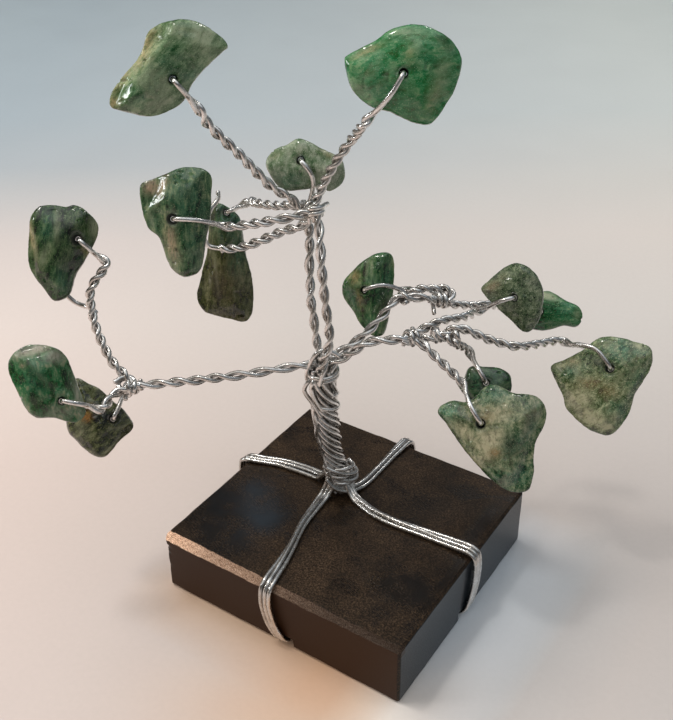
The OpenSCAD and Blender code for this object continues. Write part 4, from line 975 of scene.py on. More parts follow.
# tones from dark to light, brown and pale inclusions, and where the patches lie on each chip
LOOK = {
    # chip 1: its brown patches lie on the upper-left facets in a golden tone, a painted golden highlight along those
    # edges
    1: dict(spread=0.85, sat=1.25, tones=[(48, 72, 48), (68, 92, 66), (84, 106, 80), (104, 124, 98), (130, 143, 116)], brown=(176, 160, 118), pale=(150, 158, 132), streak=40, stretch=2.4, cloud=0.45, scale=0.9,
            P=[(5.2, 5.6, 2.6, 2.2, -20, 0.6, 1), (-1.5, -3.0, 2.2, 1.1, 30, 0.45, 1), (1.8, 6.6, 2.0, 1.2, 0, 0.4, 1)],
            B=[(-3.9, 5.0, 1.3, 3.4, -32, 0.95, 1), (-7.4, 0.9, 2.8, 0.8, 48, 0.9, 1), (-9.0, -2.6, 1.0, 0.9, 0, 0.6, 0)], D=[(-0.6, 2.4, 1.3, 2.6, -40, 0.35, 1), (-3.6, -1.4, 1.6, 1.2, 20, 0.3, 1), (-7.8, -3.0, 2.0, 0.8, 10, 0.4, 1)], G=[(-1.2, 1.6, 1.6, 3.6, -42, 0.8, 1), (2.6, 0.4, 2.4, 0.9, 8, 0.6, 1), (-4.6, -1.6, 2.6, 1.3, 35, 0.5, 1)]),
    2: dict(sat=1.5, spread=0.9, tones=[(30, 76, 50), (46, 92, 64), (60, 102, 74), (76, 112, 84), (112, 134, 108)], brown=(120, 124, 84), pale=(122, 140, 110), streak=14, stretch=2.0, cloud=0.40, scale=0.8,
            P=[(0.4, 5.6, 3.4, 0.9, -4, 0.5, 1), (5.4, -0.2, 1.3, 3.2, -14, 0.5, 1), (-6.5, -2.2, 1.2, 1.8, 30, 0.45, 1)],
            B=[(-5.4, 3.0, 2.4, 0.5, 25, 0.9, 1), (4.4, -3.4, 0.9, 2.4, -20, 0.5, 1), (0.8, 2.6, 0.8, 1.6, 0, 0.4, 1)], D=[(6.4, 3.6, 0.8, 2.0, 30, 0.6, 1), (1.4, 0.8, 1.2, 0.9, 0, 0.6, 1), (4.6, 1.2, 1.3, 1.2, 0, 0.35, 1), (1.8, -4.8, 1.5, 2.0, 0, 0.4, 1)], G=[(-4.6, -1.2, 2.8, 2.6, 0, 0.5, 1), (2.6, 2.0, 2.0, 1.6, 10, 0.5, 1)]),
    3: dict(spread=0.85, sat=1.1, tones=[(60, 84, 60), (84, 104, 78), (102, 118, 94), (120, 132, 112), (150, 158, 138)], brown=(140, 134, 104), pale=(150, 156, 138), streak=80, stretch=1.8, cloud=0.5, scale=0.9,
            P=[(4.6, -1.8, 1.6, 1.6, 0, 0.7, 0), (0.4, 2.2, 2.2, 0.9, 10, 0.4, 0)], B=[(4.6, 1.0, 1.8, 0.6, -25, 0.6, 1), (-4.2, 0.8, 1.2, 0.6, 30, 0.3, 1)], D=[(-3.6, -2.6, 1.8, 1.2, -20, 0.3, 1), (-1.2, -3.2, 1.6, 0.9, 0, 0.3, 1)], G=[(-2.2, -3.0, 2.6, 1.6, 0, 0.8, 1), (5.6, -2.6, 1.0, 1.8, 0, 0.4, 1)]),
    4: dict(tones=[(26, 46, 30), (48, 67, 50), (62, 82, 64), (84, 100, 76), (128, 134, 108)], brown=(150, 132, 108), pale=(132, 140, 116), streak=80, stretch=3.4, cloud=0.22, scale=1.0,
            P=[(-0.9, -7.6, 0.7, 2.0, 12, 0.75, 1), (-1.7, 3.6, 0.45, 2.2, -35, 0.75, 1), (-3.6, 0.6, 0.5, 2.2, 5, 0.5, 1)],
            B=[(-2.9, 5.4, 1.2, 1.0, 20, 1.0, 0), (-1.2, 5.4, 0.6, 1.6, -30, 0.8, 1), (-0.8, -3.8, 0.9, 3.0, 5, 0.75, 1)],
            D=[(2.6, 4.2, 0.9, 2.4, 0, 0.5, 1), (4.9, 4.0, 0.9, 2.5, 0, 0.5, 1), (-0.2, -4.9, 0.35, 0.35, 0, 1.0, 1), (-0.7, 2.0, 0.3, 0.3, 0, 1.0, 1), (3.6, -3.8, 0.7, 2.6, 8, 0.4, 1)], G=[(2.6, 3.2, 3.0, 3.8, 0, 0.75, 1), (-3.0, -0.4, 1.2, 2.2, 5, 0.5, 1), (2.6, -3.4, 1.4, 3.0, 6, 0.5, 1)]),
    5: dict(tones=[(34, 38, 22), (46, 50, 32), (58, 62, 42), (76, 80, 60), (112, 108, 86)], brown=(84, 74, 52), pale=(120, 118, 96), streak=84, stretch=3.0, cloud=0.18, scale=0.9, gain=0.9,
            P=[(-2.6, -12.0, 0.35, 5.0, 2, 0.5, 1)], B=[(-1.0, -12, 3.0, 4.6, 0, 0.5, 0)], D=[(-1.6, -17.0, 2.6, 1.2, -20, 0.6, 0)], G=[(0.4, -0.6, 3.0, 4.4, 0, 1.0, 0), (1.6, -6.4, 1.3, 4.0, 0, 0.75, 0), (0.6, -9.6, 1.2, 1.6, 0, 0.5, 0)]),
    6: dict(tones=[(22, 34, 22), (34, 50, 34), (50, 66, 46), (70, 84, 62), (100, 108, 86)], brown=(150, 140, 104), pale=(122, 128, 104), streak=70, stretch=3.6, cloud=0.2, scale=0.9,
            P=[(-3.0, 2.6, 0.6, 2.6, -12, 0.5, 1), (2.9, 2.0, 0.7, 1.8, -10, 0.95, 0), (-6.0, -2.0, 0.6, 2.0, -30, 0.4, 1)], B=[(-7.4, 2.0, 0.5, 3.0, 3, 0.9, 1), (1.0, -2.6, 0.5, 1.6, 25, 0.6, 0)],
            D=[(-0.8, 1.4, 1.2, 2.8, 0, 0.75, 1), (-2.4, -3.4, 1.2, 2.4, 15, 0.5, 1), (1.6, 3.6, 1.4, 0.9, 0, 0.5, 1)], G=[(-4.4, 2.6, 1.3, 2.2, -15, 0.7, 1), (-3.6, -6.4, 1.8, 2.4, 10, 0.6, 1)]),
    7: dict(sat=1.7, spread=0.85, tones=[(16, 48, 30), (26, 62, 40), (42, 76, 54), (66, 90, 70), (112, 116, 98)], brown=(104, 100, 80), pale=(142, 138, 124), streak=86, stretch=2.2, cloud=0.18, scale=0.7,
            P=[(-2.4, 9.2, 3.4, 0.9, 6, 0.95, 0), (2.6, 0.2, 0.8, 3.4, 0, 0.6, 0), (0.6, 7.4, 1.8, 1.2, 0, 0.6, 1), (-0.6, -1.6, 2.0, 1.2, 0, 0.4, 1)], B=[(-4.8, 7.0, 0.5, 0.5, 0, 0.9, 1)], D=[(1.4, 4.0, 0.8, 2.0, 0, 0.6, 1), (-3.2, 2.6, 1.6, 2.6, 0, 0.3, 1)], G=[(-3.6, 4.6, 2.6, 3.6, 10, 0.7, 1)]),
    8: dict(tones=[(22, 26, 16), (40, 44, 28), (58, 62, 44), (80, 84, 62), (116, 116, 92)], brown=(132, 92, 46), pale=(120, 120, 98), streak=35, stretch=2.4, cloud=0.25, scale=1.1,
            P=[(-5.6, -1.0, 1.3, 2.2, 0, 0.55, 1), (-0.4, -4.4, 2.6, 0.5, 42, 0.5, 1)], B=[(-4.4, 1.2, 0.9, 0.8, 0, 1.0, 1), (-3.4, 2.8, 0.7, 0.6, 0, 0.7, 1)], D=[(-0.8, 0.4, 2.2, 1.4, 30, 0.85, 1), (-2.0, -2.6, 2.6, 0.6, -25, 0.5, 1)]),
    9: dict(sat=1.45, tones=[(20, 44, 28), (36, 60, 42), (52, 76, 54), (74, 92, 68), (116, 124, 100)], brown=(116, 104, 66), pale=(120, 130, 104), streak=84, stretch=3.6, cloud=0.18, scale=1.0,
            P=[(0.4, 4.0, 0.3, 2.0, -5, 0.85, 1), (1.2, 4.2, 0.25, 1.6, -5, 0.6, 1)], B=[(-1.8, 2.2, 1.0, 1.3, 0, 0.85, 1), (-0.9, -1.4, 0.6, 2.2, 10, 0.6, 1)], D=[(3.4, -1.6, 1.2, 3.0, 5, 0.45, 1), (3.2, 4.2, 1.4, 1.8, 0, 0.4, 1)], G=[(-2.2, -1.6, 1.6, 2.4, 20, 0.75, 1), (3.4, 1.0, 1.8, 5.0, 0, 0.5, 1), (1.6, -6.0, 1.4, 2.2, 10, 0.5, 1)]),
    10: dict(sat=1.2, tones=[(38, 50, 36), (54, 67, 52), (68, 80, 62), (86, 96, 76), (122, 128, 108)], brown=(96, 84, 64), pale=(128, 134, 116), streak=60, stretch=1.3, cloud=0.3, scale=1.7, fleck=0.9,
             P=[(3.0, 3.0, 1.6, 1.4, 0, 0.45, 1)], B=[(-4.2, 1.6, 1.8, 1.0, 35, 0.85, 1), (-2.6, 3.4, 1.2, 0.8, 45, 0.4, 1)], D=[(0.6, -0.8, 1.2, 1.0, 0, 0.5, 1)]),
    11: dict(sat=1.65, tones=[(26, 56, 40), (42, 72, 52), (52, 84, 62), (66, 96, 74), (108, 124, 100)], brown=(126, 128, 98), pale=(142, 148, 118), streak=4, stretch=3.2, cloud=0.18, scale=1.2, fleck=0.8,
             P=[(0.6, 3.2, 2.2, 0.8, -10, 0.9, 1), (6.8, 0.2, 0.7, 1.2, 0, 0.4, 0)], B=[], D=[(1.4, 0.6, 1.2, 1.0, 0, 0.5, 1)], G=[(4.6, 0.2, 3.4, 1.4, 0, 0.55, 1), (-1.0, 1.4, 1.6, 1.2, 0, 0.4, 1)]),
    12: dict(spread=0.72, sat=1.2, tones=[(36, 48, 28), (60, 74, 48), (74, 88, 64), (94, 104, 80), (142, 146, 118)], brown=(128, 112, 80), pale=(160, 158, 128), streak=50, stretch=1.5, cloud=0.3, scale=1.3, fleck=0.7,
             P=[(-4.6, -6.4, 2.2, 2.0, 20, 1.0, 1), (-1.8, -9.2, 3.0, 1.6, -20, 1.0, 1), (1.0, -10.4, 1.4, 0.8, 0, 0.9, 1), (-8.6, -0.8, 1.2, 0.9, 20, 0.6, 1), (4.0, 4.8, 1.6, 0.7, -8, 0.5, 1), (2.0, -8.6, 1.0, 1.2, 0, 0.5, 1)],
             B=[(-3.2, -3.2, 2.4, 1.2, 10, 0.55, 1), (0.4, -4.0, 1.8, 1.4, 0, 0.5, 1), (-6.8, 0.2, 1.0, 0.7, 30, 0.5, 1)], D=[(-1.6, 0.6, 2.4, 0.9, 0, 0.8, 1), (3.2, 0.8, 1.0, 1.8, 0, 0.3, 1), (5.0, -3.2, 0.6, 3.0, -8, 0.5, 1)], G=[(1.4, 3.6, 4.2, 2.4, 5, 1.0, 1), (4.6, -1.0, 1.8, 4.2, 0, 0.75, 1), (2.6, -7.4, 2.2, 2.6, 10, 0.75, 1), (-6.6, -1.6, 2.6, 1.5, -10, 0.8, 1)]),
    13: dict(spread=0.78, sat=1.15, tones=[(32, 54, 36), (56, 74, 52), (74, 88, 66), (100, 108, 84), (134, 134, 110)], brown=(122, 104, 72), pale=(158, 152, 124), streak=100, stretch=1.5, cloud=0.35, scale=1.0,
             P=[(1.4, -2.8, 2.8, 1.9, 40, 1.0, 1), (-2.6, -1.6, 2.4, 1.0, -40, 0.8, 1), (3.0, 1.6, 2.8, 1.6, 20, 0.55, 1), (1.0, -5.2, 2.6, 1.3, 35, 0.8, 1)],
             B=[(2.6, -4.6, 0.9, 0.8, 0, 1.0, 1), (0.6, 1.2, 1.8, 1.2, 30, 0.5, 1)], D=[(5.0, -3.2, 1.2, 1.8, -10, 0.85, 1), (8.2, 1.4, 0.9, 2.2, -14, 0.5, 1), (-2.4, 0.6, 1.0, 0.8, 0, 0.5, 1), (3.4, -9.2, 2.0, 0.8, 20, 0.4, 1)], G=[(-5.4, 1.4, 2.4, 1.8, 20, 1.0, 1), (1.6, 5.0, 3.0, 1.5, 0, 0.9, 1), (5.2, -3.0, 2.0, 2.6, -10, 1.0, 1), (8.4, 1.0, 1.4, 3.4, -12, 0.8, 1), (6.0, -8.4, 3.6, 2.4, 10, 1.0, 1), (3.0, -9.0, 2.6, 1.2, 30, 0.7, 1)]),
    14: dict(sat=1.7, gain=0.60, tones=[(12, 38, 20), (28, 54, 36), (52, 72, 52), (74, 92, 72), (108, 120, 98)], brown=(90, 88, 64), pale=(124, 132, 110), streak=15, stretch=2.2, cloud=0.2, scale=1.1,
             P=[(-1.6, 2.2, 1.8, 0.5, 0, 0.5, 1)], B=[], D=[(0.2, -1.0, 2.4, 2.0, 0, 0.55, 1)], G=[(-0.6, 0.2, 3.0, 2.2, 0, 0.8, 1)]),
}


# shallow hollows where a chip would otherwise touch its own twig at the end of its swing, in mm at rest:
# place, outward direction, depth, reach
HOLLOWS = {
    1: [((-22.59, -10.45, 89.77), (0.86, -0.497, -0.112), 0.13, 1.3)],
    2: [((0.22, 4.30, 90.18), (0.064, -0.985, -0.158), 0.27, 1.9), ((-0.18, 5.69, 89.71), (-0.482, 0.348, -0.804), 0.12, 1.4)],
    3: [((-9.88, 7.48, 73.09), (0.408, -0.901, -0.149), 0.40, 2.3), ((-10.93, 8.95, 72.31), (-0.322, 0.327, -0.889), 0.42, 1.7)],
    5: [((-26.33, 6.19, 63.71), (0.796, 0.293, 0.529), 0.44, 1.9)],
    10: [((10.78, 28.93, 48.94), (-0.105, -0.971, -0.215), 0.21, 1.5)],
}


def build_chips():
    for i in CHIPS:
        hole, x, y, z = chip_frame(i)
        matrix = Matrix([[x[0], y[0], z[0], hole[0] * MM], [x[1], y[1], z[1], hole[1] * MM], [x[2], y[2], z[2], hole[2] * MM], [0, 0, 0, 1]])
        look = dict(LOOK[i])
        P, B, D, G = look.pop("P"), look.pop("B"), look.pop("D"), look.pop("G", [])
        mat = stone(f"aventurine_{i:02d}", seed=float(i), **look)
        v, faces = chip_shape(i)
        r = np.hypot(v[:, 0], v[:, 1])
        for at, out, deep, reach in HOLLOWS.get(i, []):
            turn = np.array([x, y, z])
            at, out = turn @ (np.array(at) - np.array(hole)), turn @ np.array(out)
            g = np.exp(-(((v - at) ** 2).sum(1) / reach ** 2) ** 1.5) * smoothstep(0.70, 1.05, r)
            v = v - deep * g[:, None] * out
        back = [(3.0 * math.sin(k * 2.4 + i), 2.5 * math.cos(k * 1.7 + i), 2.0, 1.4, 40 * k, 0.5, -1) for k in range(3)]
        wide = PIT_WIDE.get(i, 0.95)
        # painted shade in the drilled hole and on its rim, carried by the hole attribute
        painted_hole_shade = 1 - smoothstep(0.60 + 0.5 * (wide - 0.95), 0.80 + 0.8 * (wide - 0.95), np.where(v[:, 2] > 0, np.hypot(v[:, 0] + 0.6 * (wide - 0.95), v[:, 1]), r))
        painted_hole_shade = np.maximum(painted_hole_shade, 1 - smoothstep(0.60, 0.74, r))
        link(f"stone_chip_{i:02d}", v, faces, mat, f"chip_{i:02d}", [f"gem_chip_{i:02d}"], matrix,
             attrs={"pale": blobs(v, P + back[:1]), "brown": blobs(v, B + back[1:2]), "dark": blobs(v, D + back[2:]), "green": blobs(v, G), "hole": painted_hole_shade})


build_chips()


# ---------------------------------------------------------------- stone block
BX, BY, BZ = 25.0, 23.25, 12.7      # half width, half depth, height in mm


def build_block():
    """a box in a fine grid, its edges cut and roughened, with the four slots of the underside"""
    h = np.array([BX, BY, BZ / 2])
    c = np.array([0, 0, BZ / 2])

    def axis_points(half):
        # close together near the edges
        fine = np.concatenate([np.arange(0, 2.2, 0.11), np.arange(2.2, 4.0, 0.3)])
        inner = np.linspace(4.0, 2 * half - 4.0, int((2 * half - 8) / 0.5))
        full = np.concatenate([fine, inner, 2 * half - fine[::-1]])
        return np.unique(np.round(full, 5)) - half

    ax = [axis_points(BX), axis_points(BY), np.unique(np.round(np.concatenate([np.arange(0, 2.2, 0.11), np.linspace(2.2, 10.5, 24), 12.7 - np.arange(0, 2.2, 0.11)]), 5)) - BZ / 2]
    verts, faces, index = [], [], {}

    def vid(p):
        key = tuple(np.round(p, 4))
        if key not in index:
            index[key] = len(verts)
            verts.append(p)
        return index[key]

    for k in range(3):
        i, j = [a for a in range(3) if a != k]
        for sgn in (-1, 1):
            grid = np.zeros((len(ax[i]), len(ax[j])), int)
            for u, pu in enumerate(ax[i]):
                for w, pw in enumerate(ax[j]):
                    p = np.zeros(3)
                    p[i], p[j], p[k] = pu, pw, sgn * h[k]
                    grid[u, w] = vid(p)
            flip = (sgn < 0) != (k == 1)
            for u in range(len(ax[i]) - 1):
                for w in range(len(ax[j]) - 1):
                    f = (grid[u, w], grid[u + 1, w], grid[u + 1, w + 1], grid[u, w + 1])
                    faces.append(tuple(int(x) for x in (reversed(f) if flip else f)))
    p = np.array(verts)
    s = np.sign(p)
    a = np.abs(p)
    # how much each edge is cut: wide and uneven along the front top edge, a hair elsewhere
    along = p[:, 0]
    front_top = (s[:, 1] < 0) & (s[:, 2] > 0)
    wob = 0.08 * noise3(np.stack([p[:, 0] / 3.1, 0 * along, 0 * along], 1), 5) + 0.06 * noise3(np.stack([p[:, 0] / 0.8, 0 * along, 0 * along + 4], 1), 6)
    cut_yz = np.where(front_top, (1.50 - 0.012 * (p[:, 0] + 25)) + wob, 0.50 + 0.10 * noise3(p / 3.0, 9))
    cut_xz = 0.50 + 0.12 * noise3(p / 2.5, 12)
    cut_xy = 0.50 + 0.10 * noise3(p / 2.5, 14)
    for (i, j, cut) in ((1, 2, cut_yz), (0, 2, cut_xz), (0, 1, cut_xy)):
        over = np.clip(a[:, i] - h[i] + a[:, j] - h[j] + cut, 0, None) / 2
        a[:, i] -= over
        a[:, j] -= over
    q = s * a
    on_bevel = np.clip((h[1] - a[:, 1]) / 0.3, 0, 1) * np.clip((h[2] - a[:, 2]) / 0.3, 0, 1) * front_top * (a[:, 1] > h[1] - 1.6) * (a[:, 2] > h[2] - 1.6)
    any_edge = np.zeros(len(p))
    for (i, j) in ((1, 2), (0, 2), (0, 1)):
        near = np.clip((h[i] - a[:, i]) / 0.12, 0, 1) * np.clip((h[j] - a[:, j]) / 0.12, 0, 1) * (a[:, i] > h[i] - 0.8) * (a[:, j] > h[j] - 0.8)
        any_edge = np.maximum(any_edge, near)
    # ground roughness of the bevel and small chips out of the edges
    n = np.zeros_like(q)
    n[:, 1], n[:, 2] = -0.707 * on_bevel, 0.707 * on_bevel
    q = q - (0.05 + 0.10 * fbm(q / 0.45, 21, 3))[:, None] * n * on_bevel[:, None]
    # two small breaks in the left vertical edge
    for z0, size, deep in ((3.4, 0.55, 0.34), (2.0, 0.45, 0.24), (-1.2, 0.7, 0.12)):
        g = np.exp(-((q[:, 2] - z0) / size) ** 2 - ((q[:, 0] + BX) ** 2 + (q[:, 1] + BY) ** 2) / 0.9)
        q[:, 0] += deep * g
        q[:, 1] += deep * g
    bites = np.clip(noise3(q / 1.6, 33) - 0.55, 0, 1) * 0.5 * any_edge
    q = q * (1 - bites[:, None] * 0.02)
    # sawn sides: barely flat
    q[:, 1] += 0.05 * noise3(q / 9.0, 41) * (a[:, 1] > h[1] - 0.01)
    q[:, 0] += 0.04 * noise3(q / 9.0, 42) * (a[:, 0] > h[0] - 0.01)
    pit = ((q[:, 0] - PIT[0]) ** 2 + (q[:, 1] - PIT[1]) ** 2) / 0.30
    q[:, 2] -= 0.10 * np.exp(-pit) * (q[:, 2] > h[2] - 0.05)
    q = q + c

    me = bpy.data.meshes.new("tmp_block")
    me.from_pydata([tuple(v) for v in q], [], faces)
    me.update()
    tmp = bpy.data.objects.new("tmp_block", me)
    SCENE.collection.objects.link(tmp)
    cutters = []
    for x0, x1, y0, y1 in ((1.3 - 2.3, 1.3 + 2.3, -24.5, -11.25), (1.3 - 2.3, 1.3 + 2.3, 11.25, 24.5), (-26.5, -13, -2.3, 2.3), (13, 26.5, -2.3, 2.3)):
        cv = [(x, y, z) for x in (x0, x1) for y in (y0, y1) for z in (-1.0, 2.2)]
        cf = [(0, 1, 3, 2), (4, 6, 7, 5), (0, 4, 5, 1), (2, 3, 7, 6), (0, 2, 6, 4), (1, 5, 7, 3)]
        cm = bpy.data.meshes.new("tmp_slot")
        cm.from_pydata(cv, [], cf)
        co = bpy.data.objects.new("tmp_slot", cm)
        SCENE.collection.objects.link(co)
        mod = tmp.modifiers.new("slot", "BOOLEAN")
        mod.operation, mod.object, mod.solver = "DIFFERENCE", co, "EXACT"
        cutters.append(co)
    v, nn, faces = mesh_arrays(tmp)
    for o in [tmp] + cutters:
        d = o.data
        bpy.data.objects.remove(o)
        bpy.data.meshes.remove(d)
    top = smoothstep(BZ - 0.25, BZ - 0.02, v[:, 2])
    # masks of the front and right faces, which carry their painted warm and cool light
    front = 1 - smoothstep(-BY + 0.02, -BY + 0.12, v[:, 1])
    right = smoothstep(BX - 0.12, BX - 0.02, v[:, 0])
    mirror = np.zeros(len(v))
    for mx, my, ra, rb, turn, k in ((-19.5, -9.5, 8.5, 9.5, 0, 1.0), (-12.5, -8.5, 5.5, 6.0, 20, 1.0), (-16.5, -17.0, 8.5, 5.2, -12, 1.0), (18.5, -11.0, 6.5, 5.0, 0, 1.0), (10.0, 9.0, 5.0, 3.5, 30, 0.55), (22.5, 9.0, 1.8, 9.0, 0, 0.7), (23.6, -8.0, 1.2, 14.0, 0, 0.8)):
        a = math.radians(turn)
        dx, dy = v[:, 0] - mx, v[:, 1] - my
        u, w = (dx * math.cos(a) + dy * math.sin(a)) / ra, (dy * math.cos(a) - dx * math.sin(a)) / rb
        mirror = np.maximum(mirror, k * np.exp(-(u * u + w * w) ** 1.5))
    mirror = mirror * (0.8 + 0.35 * noise3(v / 2.2, 77))
    # painted light along the bevel: bright at the left corner, dark towards the right
    bevel_light_falloff = np.interp(v[:, 0], [-25, -22, -18, -14, -5, 0, 4, 10, 25], [1.35, 1.2, 0.85, 0.60, 0.44, 0.24, 0.16, 0.10, 0.05])
    bevel = ((v[:, 1] < -BY + 1.75) & (v[:, 1] > -BY + 0.06) & (v[:, 2] < BZ - 0.05) & (v[:, 2] > BZ - 1.75)).astype(float)
    return v, faces, {"top": top, "bevel": bevel, "front": front, "right": right, "mirror": np.clip(mirror, 0, 1) * top, "bevel_light_falloff": bevel_light_falloff}


PIT = (-1.2, -10.4)


def block_material():
    """black stone: a brushed-looking polished top with brown grain and darker mirror patches, sawn sides, a ground bevel"""
    m, nt, bsdf = new_material("black_stone")
    n = Nodes(nt)
    v = n.coords()
    fine = n.noise(v, 3.4, 5, 0.7)
    finer = n.noise(v, 9.0, 3, 0.6)
    broad = n.noise(v, 0.11, 4, 0.6, 0.6)
    patch = n.noise(v, 0.16, 3, 0.5, 0.8, (30, 4, 0))
    scr = n.noise(n.coords(rotation=(0, 0, 0.3), stretch=(0.25, 3.0, 1)), 2.2, 3, 0.6)
    speck = n.noise(v, 4.6, 2, 0.5, 0.0, (7, 3, 1))
    base = n.ramp(fine, [(0.38, (0.0035, 0.0019, 0.0010)), (0.50, (0.0150, 0.0090, 0.0050)), (0.62, (0.056, 0.036, 0.021))])
    blotch = n.grey(broad, 0.36, 0.64, 0.68, 1.30)
    base = n.mix(1.0, base, blotch, "MULTIPLY")
    dots = n.grey(speck, 0.66, 0.70)
    base = n.mix(n.math("MULTIPLY", dots, 0.45), base, (0.085, 0.065, 0.045))
    mirror = n.math("MAXIMUM", n.attr("mirror"), n.math("MULTIPLY", n.math("MULTIPLY", n.grey(patch, 0.54, 0.64), 0.4), n.attr("top")))
    base = n.mix(n.math("MULTIPLY", mirror, 0.94, True), base, (0.0011, 0.0011, 0.0013))
    # sawn sides: painted light, warm brown on the front face and a cooler tone on the polished right face
    side_tone = n.grey(fine, 0.3, 0.7, 0.85, 1.15)
    base = n.mix(n.attr("front"), base, n.mix(1.0, (0.027, 0.0115, 0.0055), side_tone, "MULTIPLY"))
    base = n.mix(n.attr("right"), base, n.mix(1.0, (0.012, 0.017, 0.022), side_tone, "MULTIPLY"))
    # the ground bevel: pale crushed grain, with painted light brightest at the left corner and fading to dark at the
    # right
    bev = n.math("MULTIPLY", n.attr("bevel"), n.grey(fine, 0.24, 0.44), True)
    tan = n.ramp(finer, [(0.40, (0.12, 0.064, 0.038)), (0.50, (0.50, 0.295, 0.19)), (0.61, (0.86, 0.63, 0.47))])
    tan = n.mix(1.0, tan, n.attr("bevel_light_falloff"), "MULTIPLY")
    base = n.mix(bev, base, tan)
    n.link(base, bsdf.inputs["Base Color"])
    r_top = n.math("SUBTRACT", n.grey(scr, 0.35, 0.65, 0.34, 0.46), n.math("MULTIPLY", mirror, 0.29))
    r_side = n.grey(fine, 0.35, 0.65, 0.36, 0.52)
    rough = n.mix(n.attr("top"), r_side, r_top)
    rough = n.mix(n.attr("bevel"), rough, 0.62)
    n.link(rough, bsdf.inputs["Roughness"])
    bsdf.inputs["IOR"].default_value = 1.52
    bsdf.inputs["Specular IOR Level"].default_value = 0.16
    coat = n.math("MAXIMUM", n.math("MULTIPLY", n.attr("right"), 0.42), n.math("MULTIPLY", mirror, 0.35), True)
    n.link(coat, bsdf.inputs["Coat Weight"])
    bsdf.inputs["Coat Roughness"].default_value = 0.12
    bsdf.inputs["Coat IOR"].default_value = 1.45
    b = n.bump(finer, 0.22, 0.00004, n.bump(fine, 0.20, 0.00010))
    n.link(b, bsdf.inputs["Normal"])
    return m


def make_block():
    v, faces, attrs = build_block()
    link("stone_base", v, faces, block_material(), "tree", ["base_block"], attrs=attrs, smooth_shade=False)


make_block()


# ---------------------------------------------------------------- set
def floor_material():
    m, nt, bsdf = new_material("studio_table")
    n = Nodes(nt)
    v = n.coords(scale=1.0)
    sep = n.add("ShaderNodeSeparateXYZ")
    n.link(v, sep.inputs[0])
    # painted light and shade across the floor, in ramps along the view from near to far, and across it from left to
    # right
    along = n.math("ADD", n.math("MULTIPLY", sep.outputs[0], -0.56), n.math("MULTIPLY", sep.outputs[1], 0.828))
    across = n.math("ADD", n.math("MULTIPLY", sep.outputs[0], 0.833), n.math("MULTIPLY", sep.outputs[1], 0.553))
    stops = [(-0.05, (0.452, 0.417, 0.416)), (0.03, (0.449, 0.408, 0.402)), (0.09, (0.556, 0.510, 0.488)), (0.14, (0.602, 0.537, 0.500)), (0.185, (0.571, 0.536, 0.500)), (0.25, (0.524, 0.531, 0.513)), (0.40, (0.520, 0.536, 0.516))]
    depth = n.ramp(n.grey(along, -0.05, 0.40), [((a + 0.05) / 0.45, c) for a, c in stops])
    near_side_light = n.ramp(n.grey(across, -0.09, 0.07), [(0.0, (1.120, 1.018, 0.945)), (0.5, (0.915, 0.883, 0.832)), (1.0, (0.912, 0.918, 0.886))])
    far_side_light = n.ramp(n.grey(across, -0.14, 0.14), [(0.0, (0.521, 0.597, 0.680)), (0.5, (0.654, 0.713, 0.777)), (1.0, (0.878, 0.918, 0.937))])
    side = n.mix(n.grey(along, 0.03, 0.20), near_side_light, far_side_light)
    col = n.mix(1.0, depth, side, "MULTIPLY")
    # a painted warm shadow and reflection of the block on the floor in front of it
    ox, oy = n.math("SUBTRACT", across, -0.006), n.math("SUBTRACT", along, -0.034)
    warm_spot_dist = n.math("ADD", n.math("POWER", n.math("DIVIDE", ox, 0.022), 2.0), n.math("POWER", n.math("DIVIDE", oy, 0.012), 2.0))
    warm_painted_shadow = n.math("POWER", 2.718, n.math("MULTIPLY", warm_spot_dist, -1.0))
    col = n.mix(n.math("MULTIPLY", warm_painted_shadow, 0.55), col, (0.52, 0.30, 0.16))
    # painted light around the block: a warm painted shadow and reflection close to its sawn front, a painted cool tint
    # in its shadow beside its right face
    x, y = sep.outputs[0], sep.outputs[1]
    front_warm_shade = n.math("MULTIPLY", n.grey(y, -0.0345, -0.0232), n.math("MULTIPLY", n.grey(x, -0.032, -0.020), n.grey(x, 0.024, 0.010)))
    front_warm_shade = n.math("MULTIPLY", front_warm_shade, n.grey(y, -0.015, -0.023))
    col = n.mix(front_warm_shade, col, n.mix(1.0, col, (0.96, 0.78, 0.60), "MULTIPLY"))
    right_shadow_cool_tint = n.math("MULTIPLY", n.grey(x, 0.042, 0.026), n.math("MULTIPLY", n.grey(y, -0.050, -0.026), n.grey(y, 0.034, 0.016)))
    right_shadow_cool_tint = n.math("MULTIPLY", right_shadow_cool_tint, n.grey(x, 0.015, 0.025))
    col = n.mix(right_shadow_cool_tint, col, n.mix(1.0, col, (1.24, 1.50, 1.72), "MULTIPLY"))
    # a painted shadow, darker and cooler, further out to the right of the block
    right_painted_shadow = n.math("MULTIPLY", n.math("MULTIPLY", n.grey(x, 0.029, 0.038), n.grey(x, 0.054, 0.040)), n.math("MULTIPLY", n.grey(y, -0.048, -0.028), n.grey(y, 0.042, 0.018)))
    col = n.mix(right_painted_shadow, col, n.mix(1.0, col, (0.88, 0.94, 0.98), "MULTIPLY"))
    grain = n.noise(v, 900.0, 3, 0.6)
    col = n.mix(1.0, col, n.grey(grain, 0.3, 0.7, 0.985, 1.015), "MULTIPLY")
    n.link(col, bsdf.inputs["Base Color"])
    n.link(n.grey(n.noise(v, 40.0, 3, 0.5), 0.3, 0.7, 0.42, 0.52), bsdf.inputs["Roughness"])
    bsdf.inputs["Specular IOR Level"].default_value = 0.35
    return m


def build_floor():
    k = 60
    xs = np.linspace(-3, 3, k)
    verts = [(x, y, 0.0) for x in xs for y in xs]
    faces = [(i * k + j, (i + 1) * k + j, (i + 1) * k + j + 1, i * k + j + 1) for i in range(k - 1) for j in range(k - 1)]
    me = bpy.data.meshes.new("studio_floor")
    me.from_pydata(verts, [], faces)
    me.materials.append(floor_material())
    me.update()
    o = bpy.data.objects.new("studio_floor", me)
    SCENE.collection.objects.link(o)


build_floor()


